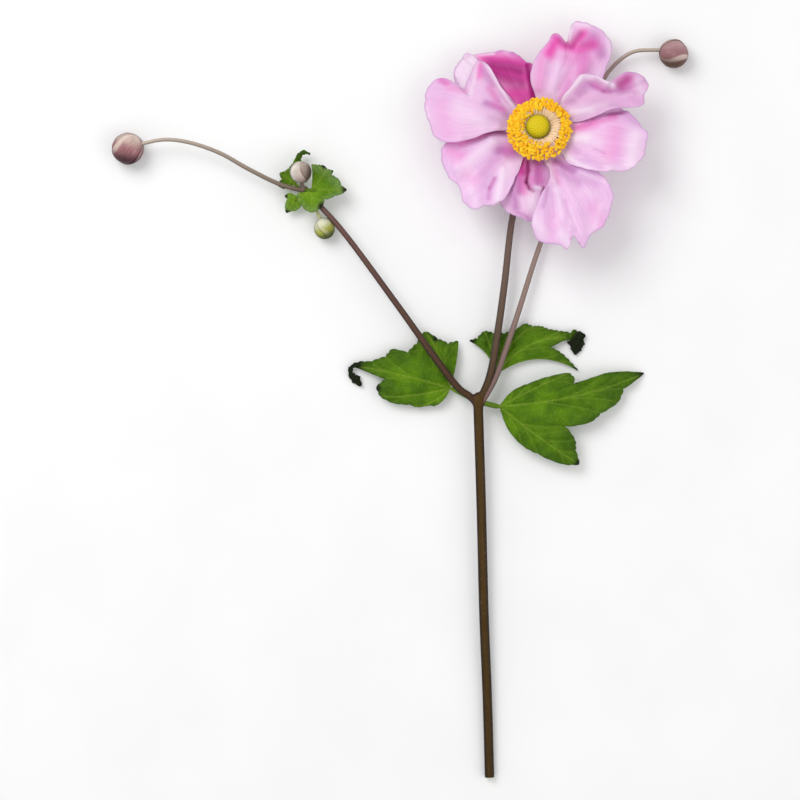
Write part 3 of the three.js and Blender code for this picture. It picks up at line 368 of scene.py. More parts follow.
# Camera, floor and light, in metres and watts.
CAMERA_HEIGHT = 1.2
VIEW_SIDE = 0.298
SENSOR = 36
FLOOR_REACH = 2
SKY_STRENGTH = 0.66
KEY_LIGHT = dict(place=(-0.5, 0.55, 0.9), size=0.65, power=5.8)
FILL_LIGHT = dict(place=(0.8, -0.3, 0.8), size=0.9, power=2.0)


# ---------------------------------------------------------------- small helpers


def smoothstep(value, low, high):
    share = np.clip((np.asarray(value, float) - low) / (high - low), 0, 1)
    return share * share * (3 - 2 * share)


def unit(vectors):
    return vectors / np.linalg.norm(vectors, axis=-1, keepdims=True)


def between(ends, share):
    return ends[0] + (ends[1] - ends[0]) * share


def bell(away, width):
    """1 where away is 0, fading over the width."""
    return np.exp(-((away / width) ** 2))


def line_distance(x, y, x0, y0, x1, y1):
    """How far each point is from the line between (x0, y0) and (x1, y1)."""
    dx, dy = x1 - x0, y1 - y0
    share = np.clip(((x - x0) * dx + (y - y0) * dy) / (dx * dx + dy * dy), 0, 1)
    return np.hypot(x - x0 - share * dx, y - y0 - share * dy)


def strongest(shares):
    """The largest of several fields at each point, or 0 where there is none."""
    return np.max(shares, axis=0) if shares else 0


def level_way(turn):
    """The level direction that is turned from +X."""
    return np.array([math.cos(turn), math.sin(turn), 0])


def turn_from_up(axis):
    """The rotation, as a 3 by 3 array, that takes +Z to the axis."""
    return np.array(Vector((0, 0, 1)).rotation_difference(Vector(axis)).to_matrix())


def ring_faces(rings, sides, closed=False):
    """Quads from each ring of points to the next, with a cap on both ends unless the rings close."""
    number = np.arange(rings * sides).reshape(rings, sides)
    above = np.roll(number, -1, axis=0)
    quads = np.stack([number, np.roll(number, -1, axis=1), np.roll(above, -1, axis=1), above], axis=-1)
    if closed:
        return quads.reshape(-1, 4).tolist()
    return quads[:-1].reshape(-1, 4).tolist() + [number[0, ::-1].tolist(), number[-1].tolist()]


class Shape:
    """Points in layout millimetres, faces, and named numbers that every point carries."""

    def __init__(self):
        self.points = []
        self.faces = []
        self.marks = {}
        self.count = 0

    def add(self, points, faces, **marks):
        points = np.asarray(points, float)
        self.faces += [[corner + self.count for corner in face] for face in faces]
        self.points.append(points)
        self.count += len(points)
        for name, values in marks.items():
            values = np.broadcast_to(np.asarray(values, float), len(points))
            self.marks.setdefault(name, []).append(values)
        return self

    def add_blade(self, grid, thickness, **marks):
        """Adds a thin closed blade round a grid of middle points, marked alike on both faces."""
        size = grid.shape[:2]
        both_faces = {name: np.tile(np.broadcast_to(values, size).ravel(), 2)
                      for name, values in marks.items()}
        return self.add(*blade(grid, np.broadcast_to(thickness, size)), **both_faces)


def make_piece(name, shape, material, slot, *nodes):
    """A smooth mesh object that stands for the named nodes and rides on the one body."""
    points = (np.concatenate(shape.points) + LAYOUT_SHIFT) * MM
    mesh = bpy.data.meshes.new(name)
    mesh.from_pydata(points.tolist(), [], shape.faces)
    for mark, values in shape.marks.items():
        attribute = mesh.attributes.new(mark, "FLOAT", "POINT")
        attribute.data.foreach_set("value", np.concatenate(values).astype(np.float32))
    mesh.shade_smooth()
    mesh.materials.append(material)
    piece = bpy.data.objects.new(name, mesh)
    bpy.context.scene.collection.objects.link(piece)
    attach(piece, "root")
    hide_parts(*nodes)
    return piece


def blade(grid, thickness):
    """A closed thin blade round a grid of middle points: its points, both faces in turn, and quads."""
    rows, columns = grid.shape[:2]
    normal = np.cross(np.gradient(grid, axis=1), np.gradient(grid, axis=0))
    for row, beside_row in ((0, 1), (-1, -2)):
        for column, beside_column in ((0, 1), (-1, -2)):
            normal[row, column] = normal[beside_row, beside_column]
    half = unit(normal) * (thickness / 2)[..., None]
    points = np.concatenate([(grid + half).reshape(-1, 3), (grid - half).reshape(-1, 3)])
    number = np.arange(rows * columns).reshape(rows, columns)
    first = np.stack(
        [number[:-1, :-1], number[:-1, 1:], number[1:, 1:], number[1:, :-1]], axis=-1
    ).reshape(-1, 4)
    second = first[:, ::-1] + rows * columns
    rim = np.concatenate([number[0, :-1], number[:-1, -1], number[-1, :0:-1], number[:0:-1, 0]])
    beside = np.roll(rim, -1)
    sides = np.stack([rim, rim + rows * columns, beside + rows * columns, beside], axis=-1)
    return points, np.concatenate([first, second, sides]).tolist()


def smooth_path(points, step):
    """Points about a step apart on the centripetal Catmull-Rom curve through the points."""
    points = np.asarray(points, float)
    points = np.vstack([2 * points[0] - points[1], points, 2 * points[-1] - points[-2]])
    dense = []
    for p0, p1, p2, p3 in zip(points, points[1:], points[2:], points[3:]):
        t0 = 0
        t1 = t0 + np.linalg.norm(p1 - p0) ** 0.5
        t2 = t1 + np.linalg.norm(p2 - p1) ** 0.5
        t3 = t2 + np.linalg.norm(p3 - p2) ** 0.5
        t = np.linspace(t1, t2, 40)[:-1, None]
        a1 = (t1 - t) / (t1 - t0) * p0 + (t - t0) / (t1 - t0) * p1
        a2 = (t2 - t) / (t2 - t1) * p1 + (t - t1) / (t2 - t1) * p2
        a3 = (t3 - t) / (t3 - t2) * p2 + (t - t2) / (t3 - t2) * p3
        b1 = (t2 - t) / (t2 - t0) * a1 + (t - t0) / (t2 - t0) * a2
        b2 = (t3 - t) / (t3 - t1) * a2 + (t - t1) / (t3 - t1) * a3
        dense.append((t2 - t) / (t2 - t1) * b1 + (t - t1) / (t2 - t1) * b2)
    dense = np.vstack([*dense, points[-2:-1]])
    lengths = np.concatenate([[0], np.cumsum(np.linalg.norm(np.diff(dense, axis=0), axis=1))])
    count = max(2, round(lengths[-1] / step))
    even = np.linspace(0, lengths[-1], count + 1)
    return np.stack([np.interp(even, lengths, dense[:, k]) for k in range(3)], axis=1), even


def frames_along(path):
    """Two directions square to the path at each point, turned as little as possible on the way."""
    tangents = unit(np.gradient(path, axis=0))
    side = np.cross(tangents[0], (0, 0, 1) if abs(tangents[0][2]) < 0.9 else (1, 0, 0))
    sides = []
    for tangent in tangents:
        side = side - (side @ tangent) * tangent
        side = side / np.linalg.norm(side)
        sides.append(side)
    sides = np.array(sides)
    return sides, np.cross(tangents, sides)


def tube(path, radii, sides):
    """A round tube with closed ends: points, faces, and each point's turn round the tube from 0 to 1."""
    first, second = frames_along(path)
    turn = np.linspace(0, 2 * np.pi, sides, endpoint=False)
    ring = np.cos(turn)[None, :, None] * first[:, None] + np.sin(turn)[None, :, None] * second[:, None]
    points = path[:, None] + ring * np.asarray(radii)[:, None, None]
    return points.reshape(-1, 3), ring_faces(len(path), sides), np.tile(turn / (2 * np.pi), len(path))


# ---------------------------------------------------------------- tepals


def roll_up(x, s, h, toward, start, radius, most):
    """Rolls the flat blade up past a straight fold line."""
    nx = math.sin(math.radians(toward))
    ns = math.cos(math.radians(toward))
    past = np.maximum(x * nx + s * ns - start, 0)
    angle = np.minimum(past / radius, math.radians(most))
    straight = past - angle * radius
    moved = radius * np.sin(angle) + straight * np.cos(angle) - past
    lifted = radius * (1 - np.cos(angle)) + straight * np.sin(angle)
    return x + nx * moved, s + ns * moved, h + lifted


def rim_height(tepal, round_rim):
    """How far the margin stands out: large teeth and notches, and fine ones between them."""
    height = np.zeros_like(round_rim)
    for at, tooth, width in tepal["margin"]:
        height += tooth * bell(round_rim - math.radians(at), math.radians(width))
    fine_teeth = sum(tooth * np.sin(waves * (round_rim + tepal["phase"])) for waves, tooth in FINE_TEETH)
    return height + fine_teeth * np.cos(round_rim / 2) * min(tepal["half_width"]) / FINE_TEETH_HALF_WIDTH


def tepal_shape(tepal):
    """One tepal in layout millimetres, marked with its place on the blade and its colouring."""
    a, b = np.meshgrid(np.linspace(-1, 1, TEPAL_COLUMNS + 1), np.linspace(-1, 1, TEPAL_ROWS + 1))
    across = a * np.sqrt(1 - b * b / 2)
    along = b * np.sqrt(1 - a * a / 2)
    part = (along + 1) / 2
    from_middle = np.hypot(across, along)
    pairs = ("half_width", "claw", "edges")
    half_width, claw, lift = (np.where(across > 0, *tepal[pair]) for pair in pairs)
    narrowing = between((CLAW_SHARE, 1), smoothstep(part / claw, 0, 1))
    round_rim = np.arctan2(across, along)
    tooth = smoothstep(from_middle, MARGIN_START, 1) * rim_height(tepal, round_rim)
    s = tepal["length"] * part + tooth * np.cos(round_rim)
    x = half_width * across * narrowing * (1 + SHOULDER * along) + tooth * np.sin(round_rim)

    height = lift * (x / half_width) ** 2 * smoothstep(s, 3, 16)
    phase = tepal["phase"]
    height += tepal["ruffle"] * smoothstep(part, 0.55, 0.95) * np.sin(5.5 * across + 7 * part + phase)
    height += RIM_RUFFLE * smoothstep(from_middle, 0.75, 1) * np.sin(13 * round_rim + phase)
    for *line, fold, width in tepal["folds"]:
        height += fold * bell(line_distance(x, s, *line), width) * smoothstep(s, 6, 14)
    # The deep pink, rose and mauve marks are partly own colour and partly painted shade; near white is partly
    # painted highlight.
    marks = {kind: strongest([strength * bell(line_distance(x, s, *line), width)
                              for *line, width, strength in tepal[kind]])
             for kind in ("deep_and_painted_shade", "rose", "mauve", "pale")}

    flat = (x, s, height)
    for roll in tepal["rolls"]:
        flat = roll_up(*flat, *roll)
    slope = DISH_START - DISH_BEND * flat[1]
    radius = CLAW_START + (math.sin(DISH_START) - np.sin(slope)) / DISH_BEND - flat[2] * np.sin(slope)
    up = (tepal["layer"] * LAYER_STEP + (np.cos(slope) - math.cos(DISH_START)) / DISH_BEND
          + flat[2] * np.cos(slope))
    turn = math.radians(tepal["angle"])
    grid = np.stack([radius * math.cos(turn) - flat[0] * math.sin(turn),
                     radius * math.sin(turn) + flat[0] * math.cos(turn), up], axis=-1)
    thickness = between((TEPAL_MIDDLE_THICKNESS, TEPAL_RIM_THICKNESS), smoothstep(from_middle, 0.8, 1))
    return Shape().add_blade(in_bloom(grid), thickness, across=a, part=part, rim=from_middle,
                             dusty=tepal["dusty"], **marks)


BLOOM_AXIS = (
    math.sin(math.radians(BLOOM_LEAN)) * math.cos(math.radians(BLOOM_LEAN_TOWARDS)),
    math.sin(math.radians(BLOOM_LEAN)) * math.sin(math.radians(BLOOM_LEAN_TOWARDS)),
    math.cos(math.radians(BLOOM_LEAN)),
)
BLOOM_TURN = turn_from_up(BLOOM_AXIS)


def in_bloom(points):
    """From the bloom's own frame, with its axis up, to the layout."""
    return points @ BLOOM_TURN.T + np.array(BLOOM_FOOT)


# ---------------------------------------------------------------- stamens and carpel head


def anther_template():
    """A two-lobed pod that reaches one unit each way, with a groove along its top and one below."""
    rings, sides = 9, 12
    points = []
    for k in range(rings):
        x = -math.cos(math.pi * (k + 0.35) / (rings - 0.3))
        size = math.sqrt(max(0.02, 1 - x * x)) * (1 - 0.1 * x)
        for n in range(sides):
            turn = 2 * math.pi * n / sides
            groove = 1 - 0.32 * bell(turn - math.pi / 2, 0.5) - 0.22 * bell(turn - 3 * math.pi / 2, 0.5)
            points.append((x, size * math.cos(turn), size * math.sin(turn) * groove))
    return np.array(points), ring_faces(rings, sides)


def rotation(turn, tilt, spin):
    """Spins about +X, tilts +X up by tilt, then turns about +Z. All in radians."""
    ct, st, ci, si, cs, ss = (math.cos(turn), math.sin(turn), math.cos(tilt), math.sin(tilt),
                              math.cos(spin), math.sin(spin))
    about_z = np.array([[ct, -st, 0], [st, ct, 0], [0, 0, 1]])
    about_y = np.array([[ci, 0, -si], [0, 1, 0], [si, 0, ci]])
    about_x = np.array([[1, 0, 0], [0, cs, -ss], [0, ss, cs]])
    return about_z @ about_y @ about_x


def stamen_shapes():
    """All the filaments with the collar that their feet make, and all the anthers."""
    filaments = Shape()
    anthers = Shape()
    pod, pod_faces = anther_template()
    filaments.add(*turned(COLLAR, 96), up=0.6)
    outermost = len(STAMEN_ROUNDS) - 1
    for index, ring in enumerate(STAMEN_ROUNDS):
        for k in range(ring["count"]):
            turn = 2 * math.pi * (k + index / 3 + CHANCE.uniform(-0.3, 0.3)) / ring["count"]
            open_here = ring["open_from"] < (math.degrees(turn) + 180) % 360 - 180 < ring["open_to"]
            wider = 1 + RING_OFFSET * math.cos(turn - math.radians(RING_OFFSET_TOWARDS))
            radius = (ring["radius"] + CHANCE.uniform(-0.45, 0.45)) * wider
            height = ring["height"] + CHANCE.uniform(-0.55, 0.35)
            out = level_way(turn)
            foot_radius = between((RING_INNER_RADIUS + 0.3, RING_OUTER_RADIUS - 0.2), index / outermost)
            foot = out * foot_radius + (0, 0, RING_TOP - 0.3)
            middle = out * between((foot_radius, radius), 0.38) + (0, 0, between((RING_TOP, height), 0.72))
            end = out * radius + (0, 0, height)
            path, _ = smooth_path([foot, middle, end], 0.6)
            share = np.linspace(0, 1, len(path))
            points, faces, _ = tube(path, FILAMENT_RADIUS * (1.25 - 0.45 * share), FILAMENT_SIDES)
            filaments.add(in_bloom(points), faces, up=np.repeat(share, FILAMENT_SIDES))
            if open_here:
                continue
            tilt = math.radians(ring["tilt"] + CHANCE.uniform(-22, 22))
            spun = rotation(turn + CHANCE.uniform(-1.1, 1.1), tilt, CHANCE.uniform(-0.8, 0.8))
            size = np.array(ANTHER_HALF_SIZE) * CHANCE.uniform(0.85, 1.12)
            anthers.add(in_bloom((pod * size) @ spun.T + end + out * 0.35), pod_faces,
                        tone=CHANCE.uniform(0, 1), groove=np.clip(pod[:, 2], -1, 1))
    return filaments, anthers


def turned(profile, sides):
    """The closed ring that a profile of (radius, height) makes round the axis of the bloom."""
    turn = np.linspace(0, 2 * np.pi, sides, endpoint=False)
    profile = np.array(profile, float)
    points = np.stack([profile[:, 0, None] * np.cos(turn), profile[:, 0, None] * np.sin(turn),
                       np.repeat(profile[:, 1, None], sides, axis=1)], axis=-1)
    return in_bloom(points.reshape(-1, 3)), ring_faces(len(profile), sides, closed=True)


def ball(subdivisions):
    """A unit ball of even triangles."""
    bm = bmesh.new()
    bmesh.ops.create_icosphere(bm, subdivisions=subdivisions, radius=1)
    points = np.array([v.co[:] for v in bm.verts])
    faces = [[v.index for v in face.verts] for face in bm.faces]
    bm.free()
    return unit(points), faces


def spiral_ways(count):
    """Even directions over a ball, in a spiral."""
    k = np.arange(count)
    z = 1 - 2 * (k + 0.5) / count
    turn = k * math.pi * (3 - math.sqrt(5))
    flat = np.sqrt(1 - z * z)
    return np.stack([flat * np.cos(turn), flat * np.sin(turn), z], axis=1)


def carpel_shape():
    """The head of carpels: one boss for each, with a small blunt beak in its middle."""
    points, faces = ball(6)
    bosses = spiral_ways(CARPEL_COUNT)
    pitch = math.sqrt(4 * math.pi / CARPEL_COUNT)
    away = np.sqrt(np.maximum(2 - 2 * (points @ bosses.T).max(axis=1), 0)) / (pitch / 2)
    beak = bell(away, 0.3)
    size = CARPEL_RADIUS - CARPEL_RELIEF * np.minimum(1, away) ** 2 + 0.07 * beak - 0.05
    placed = points * size[:, None] * (1, 1, CARPEL_FLATNESS) + (0, 0, CARPEL_MIDDLE)
    # up places the painted highlight on the top of the head, and between the painted shade between the
    # bosses.
    return Shape().add(in_bloom(placed), faces, beak=beak, between=np.minimum(1, away) ** 2,
                       up=points[:, 2])


# ---------------------------------------------------------------- stem


def stalk_paths():
    """Each stalk's points a step apart, with the radius, mauve, olive and cream there."""
    made = []
    for stalk in STALKS:
        path, lengths = smooth_path(stalk["points"], STALK_STEP)
        share = lengths / lengths[-1]
        made.append(dict(path=path, lengths=lengths, radii=between(stalk["radii"], share),
                         mauve=between(stalk["mauve"], share), olive=between(stalk["olive"], share),
                         cream=between(stalk["cream"], share)))
    return made


def fork_shape(fork, stalks):
    """The swollen fork, where the stalks and their skins run together."""
    centre = np.array(fork["at"])
    raw = Shape()
    for stalk in stalks:
        near = np.linalg.norm(stalk["path"] - centre, axis=1) < fork["reach"]
        if near.sum() > 2:
            points, faces, _ = tube(stalk["path"][near], stalk["radii"][near] + 0.04, STALK_SIDES)
            raw.add(points, faces)
    points, faces = ball(3)
    raw.add(points * np.array(fork["size"]) + centre, faces)
    mesh = bpy.data.meshes.new("fork_raw")
    mesh.from_pydata(np.concatenate(raw.points).tolist(), [], raw.faces)
    rough = bpy.data.objects.new("fork_raw", mesh)
    bpy.context.scene.collection.objects.link(rough)
    remesh = rough.modifiers.new("join", "REMESH")
    remesh.mode = "VOXEL"
    remesh.voxel_size = FORK_VOXEL
    soften = rough.modifiers.new("soften", "SMOOTH")
    soften.factor = 0.5
    soften.iterations = 8
    joined = rough.evaluated_get(bpy.context.evaluated_depsgraph_get()).to_mesh()
    points = np.array([v.co[:] for v in joined.vertices])
    faces = [list(face.vertices) for face in joined.polygons]
    rough.to_mesh_clear()
    bpy.data.objects.remove(rough)
    return points, faces


def skin_marks(points, centres, radii, **skin):
    """The skin's marks, with how far up and how far down the picture each point faces on its stalk, which
    place the painted highlight and painted shade on the skin.
    """
    away = (points - centres) / radii[:, None]
    return dict(top=np.minimum(away[:, 2], 1), below=-away[:, 1], **skin)


def cut_face(stalk):
    """The disc of pith that stands a little out of the cut end of a stalk."""
    end, before = stalk["path"][:2]
    first, second = frames_along(stalk["path"])
    turn = np.linspace(0, 2 * np.pi, PITH_SIDES, endpoint=False)[:, None]
    rim = PITH_SHARE * stalk["radii"][0] * (np.cos(turn) * first[0] + np.sin(turn) * second[0])
    points = end + PITH_STEP * unit(end - before) + np.concatenate([rim, 0 * rim])
    number = np.arange(PITH_SIDES)
    beside = np.roll(number, -1)
    quads = np.stack([number, number + PITH_SIDES, beside + PITH_SIDES, beside], axis=1)
    return points, quads.tolist()


def stem_shape(stalks):
    """Every stalk, the forks and the receptacle as one piece."""
    stem = Shape()
    for stalk in stalks:
        points, faces, turn = tube(stalk["path"], stalk["radii"], STALK_SIDES)
        every = {name: np.repeat(stalk[name], STALK_SIDES, axis=0)
                 for name in ("path", "radii", "lengths", "mauve", "olive", "cream")}
        marks = skin_marks(points, every["path"], every["radii"], mauve=every["mauve"],
                           olive=every["olive"], cream=every["cream"])
        stem.add(points, faces, turn=turn, along=every["lengths"], pith=0, **marks)
    path, radii, mauve, olive, cream = (
        np.concatenate([stalk[name] for stalk in stalks])
        for name in ("path", "radii", "mauve", "olive", "cream"))
    for fork in FORKS:
        points, faces = fork_shape(fork, stalks)
        nearest = np.array([np.argmin(np.linalg.norm(path - point, axis=1) / radii) for point in points])
        marks = skin_marks(points, path[nearest], radii[nearest], mauve=mauve[nearest],
                           olive=olive[nearest], cream=cream[nearest])
        turn = np.arctan2(points[:, 2] - fork["at"][2], points[:, 0]) / (2 * np.pi)
        stem.add(points, faces, turn=turn, along=points[:, 1], pith=0, **marks)
    profile = [(0.05, -3.4), (1.1, -3.4), (1.6, -2.0), (RECEPTACLE_RADIUS, -0.9), (RECEPTACLE_RADIUS, 4.6),
               (2.5, 5.0), (0.05, 5.0)]
    points, faces = turned(profile, 32)
    stem.add(points, faces, turn=0, top=1, below=0, along=0, mauve=0.1, olive=0.9, cream=0, pith=0)
    points, faces = cut_face(stalks[0])
    stem.add(points, faces, turn=0, top=1, below=0, along=0, mauve=0, olive=1, cream=0, pith=1)
    return stem


# ---------------------------------------------------------------- buds


def bud_shape(bud):
    """A round bud of closed tepals, each edge standing a little over the next, marked at its seams."""
    points, faces = ball(6)
    from_axis = np.hypot(points[:, 0], points[:, 1])
    around = BUD_TEPALS * (np.arctan2(points[:, 1], points[:, 0]) + BUD_TWIST * points[:, 2]
                           + bud["turn"]) / (2 * np.pi)
    within = around - np.floor(around)
    high = np.where(within < BUD_EDGE, 1 - within / BUD_EDGE, (within - BUD_EDGE) / (1 - BUD_EDGE))
    placed = points * (1 - BUD_STEP * (1 - high) * from_axis)[:, None] * bud["radius"]
    placed = placed @ turn_from_up(unit(np.array(bud["along"]))).T
    at = np.array([*bud["at"][:2], -placed[:, 2].min() if bud["rests"] else bud["at"][2]])
    begins = between((0.9, 0.72), smoothstep(points[:, 2], -1, 0.6))
    margin = bud["seam"] * smoothstep(within - begins, 0, 0.1) * smoothstep(from_axis, 0.1, 0.5)
    # furrow places painted shade where one tepal's edge steps down to the next.
    furrow = smoothstep(within, 0.1, 0.03) * smoothstep(within, 0.0, 0.02)
    outwards = placed / bud["radius"]
    # low places the painted shade on the dark side and the painted highlight opposite; side places painted
    # shade towards the rim seen from above.
    return Shape().add(placed + at, faces, margin=margin, furrow=furrow, tip=points[:, 2],
                       low=outwards @ unit(np.array(bud["dark_side"])), side=1 - outwards[:, 2],
                       across=around)


# ---------------------------------------------------------------- leaves


def leaf_rays(leaf):
    """The rays with others between them, and small convex teeth along the margin."""
    rays = np.array(leaf["rays"], float)
    last = len(rays) - 1
    place = np.linspace(0, last, last * RAY_STEPS + 1)
    start, end, reach = (np.interp(place, np.arange(last + 1), rays[:, k]) for k in range(3))
    scallops = np.abs(np.sin(2 * np.pi * place)) * leaf["scallop"]
    return np.radians(start), np.radians(end), reach + scallops


def leaf_surface(leaf, way, out):
    """The middle surface at a distance out from the heart in the given way."""
    longest = max(ray[2] for ray in leaf["rays"])
    off = way - math.radians(leaf["heading"])
    along = out / longest * np.cos(off)
    across = out / longest * np.sin(off)
    height = (4 * leaf["rise"] * along * (1 - along) + leaf["fall"] * along
              - 2 * leaf["edge"] * across**2
              + leaf["wave"] * out / longest * np.sin(6 * off + leaf["phase"]))
    return np.stack([leaf["at"][0] + out * np.cos(way), leaf["at"][1] + out * np.sin(way),
                     leaf["at"][2] + height], axis=-1)


def leaf_veins(leaf):
    """Lines of (x, y) points: a main vein to each lobe and one from it to each tooth, with a weight."""
    rays = np.array(leaf["rays"], float)

    def ray_line(index):
        start, end, reach = rays[index]
        out = np.linspace(LEAF_HEART, reach, 12)
        way = np.radians(start + (end - start) * (out / reach) ** RAY_BEND)
        return np.stack([leaf["at"][0] + out * np.cos(way), leaf["at"][1] + out * np.sin(way)], axis=1)

    veins = [(ray_line(lobe), 1.0) for lobe in leaf["lobes"]]
    for index in range(len(rays)):
        if index in leaf["lobes"]:
            continue
        lobe = min(leaf["lobes"], key=lambda other: abs(other - index))
        main = ray_line(lobe)
        tip = ray_line(index)[-1]
        reach = rays[index][2] / rays[lobe][2]
        branch = main[int(np.clip(12 * (reach - 0.12 - 0.09 * abs(index - lobe)), 1, 10))]
        bent = (branch + tip) / 2 + 0.12 * (main[-1] - main[0]) / 2
        share = np.linspace(0, 1, 8)[:, None]
        curve = (1 - share) ** 2 * branch + 2 * share * (1 - share) * bent + share**2 * tip
        veins.append((curve, 0.6))
    return veins


def vein_distance(grid, veins):
    """For each point, how far the nearest vein is in plan, and how weighty that vein is."""
    x, y = grid[..., 0], grid[..., 1]
    nearest = np.full(x.shape, 99.0)
    weight = np.zeros(x.shape)
    for line, strength in veins:
        for (x0, y0), (x1, y1) in zip(line, line[1:]):
            away = line_distance(x, y, x0, y0, x1, y1)
            closer = away < nearest
            nearest = np.where(closer, away, nearest)
            weight = np.where(closer, strength, weight)
    return nearest, weight


def leaf_shape(leaf):
    """A lobed, toothed blade, quilted between its veins, with its stalk and its curled tips."""
    start, end, reach = leaf_rays(leaf)
    b = np.linspace(0, 1, LEAF_ROWS + 1)[:, None]
    out = LEAF_HEART + (reach - LEAF_HEART) * b
    way = start + (end - start) * (out / reach) ** RAY_BEND
    grid = leaf_surface(leaf, way, out)
    away, weight = vein_distance(grid, leaf_veins(leaf))
    quilt = (1 - bell(away, QUILT_WIDTH)) * smoothstep(b, 0.02, 0.2) - 0.5
    crinkle = 0.7 * np.sin(way * 17 + leaf["phase"]) * np.sin(out * 0.9) * smoothstep(b, 0.3, 0.9)
    grid[..., 2] += leaf["quilt"] * (quilt + crinkle)
    dark = strongest([np.exp(-((np.hypot(grid[..., 0] - x, grid[..., 1] - y) / radius) ** 4))
                      for x, y, radius in leaf["dark"]])
    # outer and margin place painted shade towards the margin of the blade.
    shape = Shape().add_blade(
        grid, LEAF_THICKNESS * (1 - 0.5 * smoothstep(b, 0.85, 1)), dark=dark,
        vein=weight * bell(away, 0.2 + 0.14 * weight * (1.3 - b)),
        fresh=leaf.get("fresh", 0) * bell(out, FRESH_REACH), margin=smoothstep(b, 0.9, 1),
        outer=smoothstep(b, 0.5, 1), frost=leaf.get("frost", 0))
    inside = np.array(leaf["at"]) + 2.5 * level_way(math.radians(leaf["heading"]))
    path, lengths = smooth_path([leaf["start"], leaf["at"], inside - (0, 0, 0.15)], 0.5)
    radii = leaf["stalk"] * (1 - 0.7 * smoothstep(lengths / lengths[-1], 0.55, 1))
    points, faces, _ = tube(path, radii, 14)
    shape.add(points, faces, vein=0.55, dark=0, fresh=0, margin=0, outer=0, frost=0)
    for curl in leaf["curls"]:
        add_curl(shape, **curl)
    return shape


def add_curl(shape, path, widths, roll, dead):
    """Adds a leaf tip: a ragged strip bent into a gutter along its path, and crumpled a little."""
    line, lengths = smooth_path(path, 0.3)
    share = np.linspace(0, 1, len(line))
    width = np.interp(share, np.linspace(0, 1, len(widths)), widths)
    width = width * (1 + 0.14 * np.sin(2.7 * lengths) + 0.08 * np.sin(6.1 * lengths + 1))
    first, second = frames_along(line)
    if second[0][2] < 0:
        first, second = -first, -second
    across = np.linspace(-1, 1, 13)
    bend = math.radians(roll) * smoothstep(share, 0, 0.5)[:, None] + 0.2
    radius = width[:, None] / bend
    angle = across * bend / 2
    crumple = 0.12 * np.sin(9 * across + 2.3 * lengths[:, None]) * width[:, None] / 2
    side = radius * np.sin(angle)
    up = radius * (1 - np.cos(angle)) + crumple
    grid = line[:, None] + side[..., None] * first[:, None] - up[..., None] * second[:, None]
    shape.add_blade(grid, CURL_THICKNESS, vein=0, dark=dead * smoothstep(share, 0, 0.25)[:, None], fresh=0,
                    margin=0, outer=1, frost=0)
    points = shape.points[-1]
    points[:, 2] = np.maximum(points[:, 2], CURL_LIFT)


# ---------------------------------------------------------------- hairs


def hairs(shape, roots, ways, lengths):
    """Adds a thin three-sided spike for each hair."""
    for root, way, length in zip(roots, ways, lengths):
        first = np.cross(way, (0.3, 0.5, 0.8))
        first = first / np.linalg.norm(first)
        second = np.cross(way, first)
        foot = [root + HAIR_BASE * (math.cos(turn) * first + math.sin(turn) * second)
                for turn in (0, 2 * math.pi / 3, 4 * math.pi / 3)]
        shape.add([*foot, root + way * length], [(0, 1, 3), (1, 2, 3), (2, 0, 3), (2, 1, 0)])


def stalk_hairs(stalks):
    """Fine hairs that stand off the stalks, leaning towards their ends."""
    shape = Shape()
    for stalk in stalks:
        first, second = frames_along(stalk["path"])
        tangents = unit(np.gradient(stalk["path"], axis=0))
        count = int(stalk["lengths"][-1] * STALK_HAIRS_PER_MM)
        ring = CHANCE.integers(1, len(stalk["path"]) - 1, count)
        turn = CHANCE.uniform(0, 2 * np.pi, count)
        out = np.cos(turn)[:, None] * first[ring] + np.sin(turn)[:, None] * second[ring]
        shift = CHANCE.uniform(-0.5, 0.5, count)[:, None] * STALK_STEP * tangents[ring]
        roots = stalk["path"][ring] + shift + out * stalk["radii"][ring][:, None] * 0.98
        lean = tangents[ring] * CHANCE.uniform(0.2, 1.2, count)[:, None]
        lengths = CHANCE.uniform(*STALK_HAIR_LENGTH, count)
        ways = unit(out + lean)
        above = roots[:, 2] + ways[:, 2] * lengths > 0.05
        hairs(shape, roots[above], ways[above], lengths[above])
    return shape


def bud_hairs(shapes):
    """Silky hairs that lie along the buds, towards their tips."""
    shape = Shape()
    for bud, made in zip(BUDS, shapes):
        points = np.concatenate(made.points)
        middle = (points.max(axis=0) + points.min(axis=0)) / 2
        along = unit(np.array(bud["along"]))
        count = int(BUD_HAIRS * (bud["radius"] / 6) ** 2)
        roots = points[CHANCE.integers(0, len(points), count)]
        out = unit(roots - middle)
        lie = along - (out @ along)[:, None] * out
        ways = unit(0.35 * out + lie + CHANCE.uniform(-0.3, 0.3, (count, 3)))
        lengths = CHANCE.uniform(*BUD_HAIR_LENGTH, count) * bud["radius"] / 6
        above = np.minimum(roots[:, 2], roots[:, 2] + ways[:, 2] * lengths) > 0.05
        silky = above & (out @ unit(np.array(bud["dark_side"])) < 0.1)
        hairs(shape, roots[silky], ways[silky], lengths[silky])
    return shape


# ---------------------------------------------------------------- materials


def colour(code):
    """A colour written as a web colour, as the linear values that shaders take."""
    values = [int(code[k:k + 2], 16) / 255 for k in (1, 3, 5)]
    return (*(v / 12.92 if v <= 0.04045 else ((v + 0.055) / 1.055) ** 2.4 for v in values), 1)


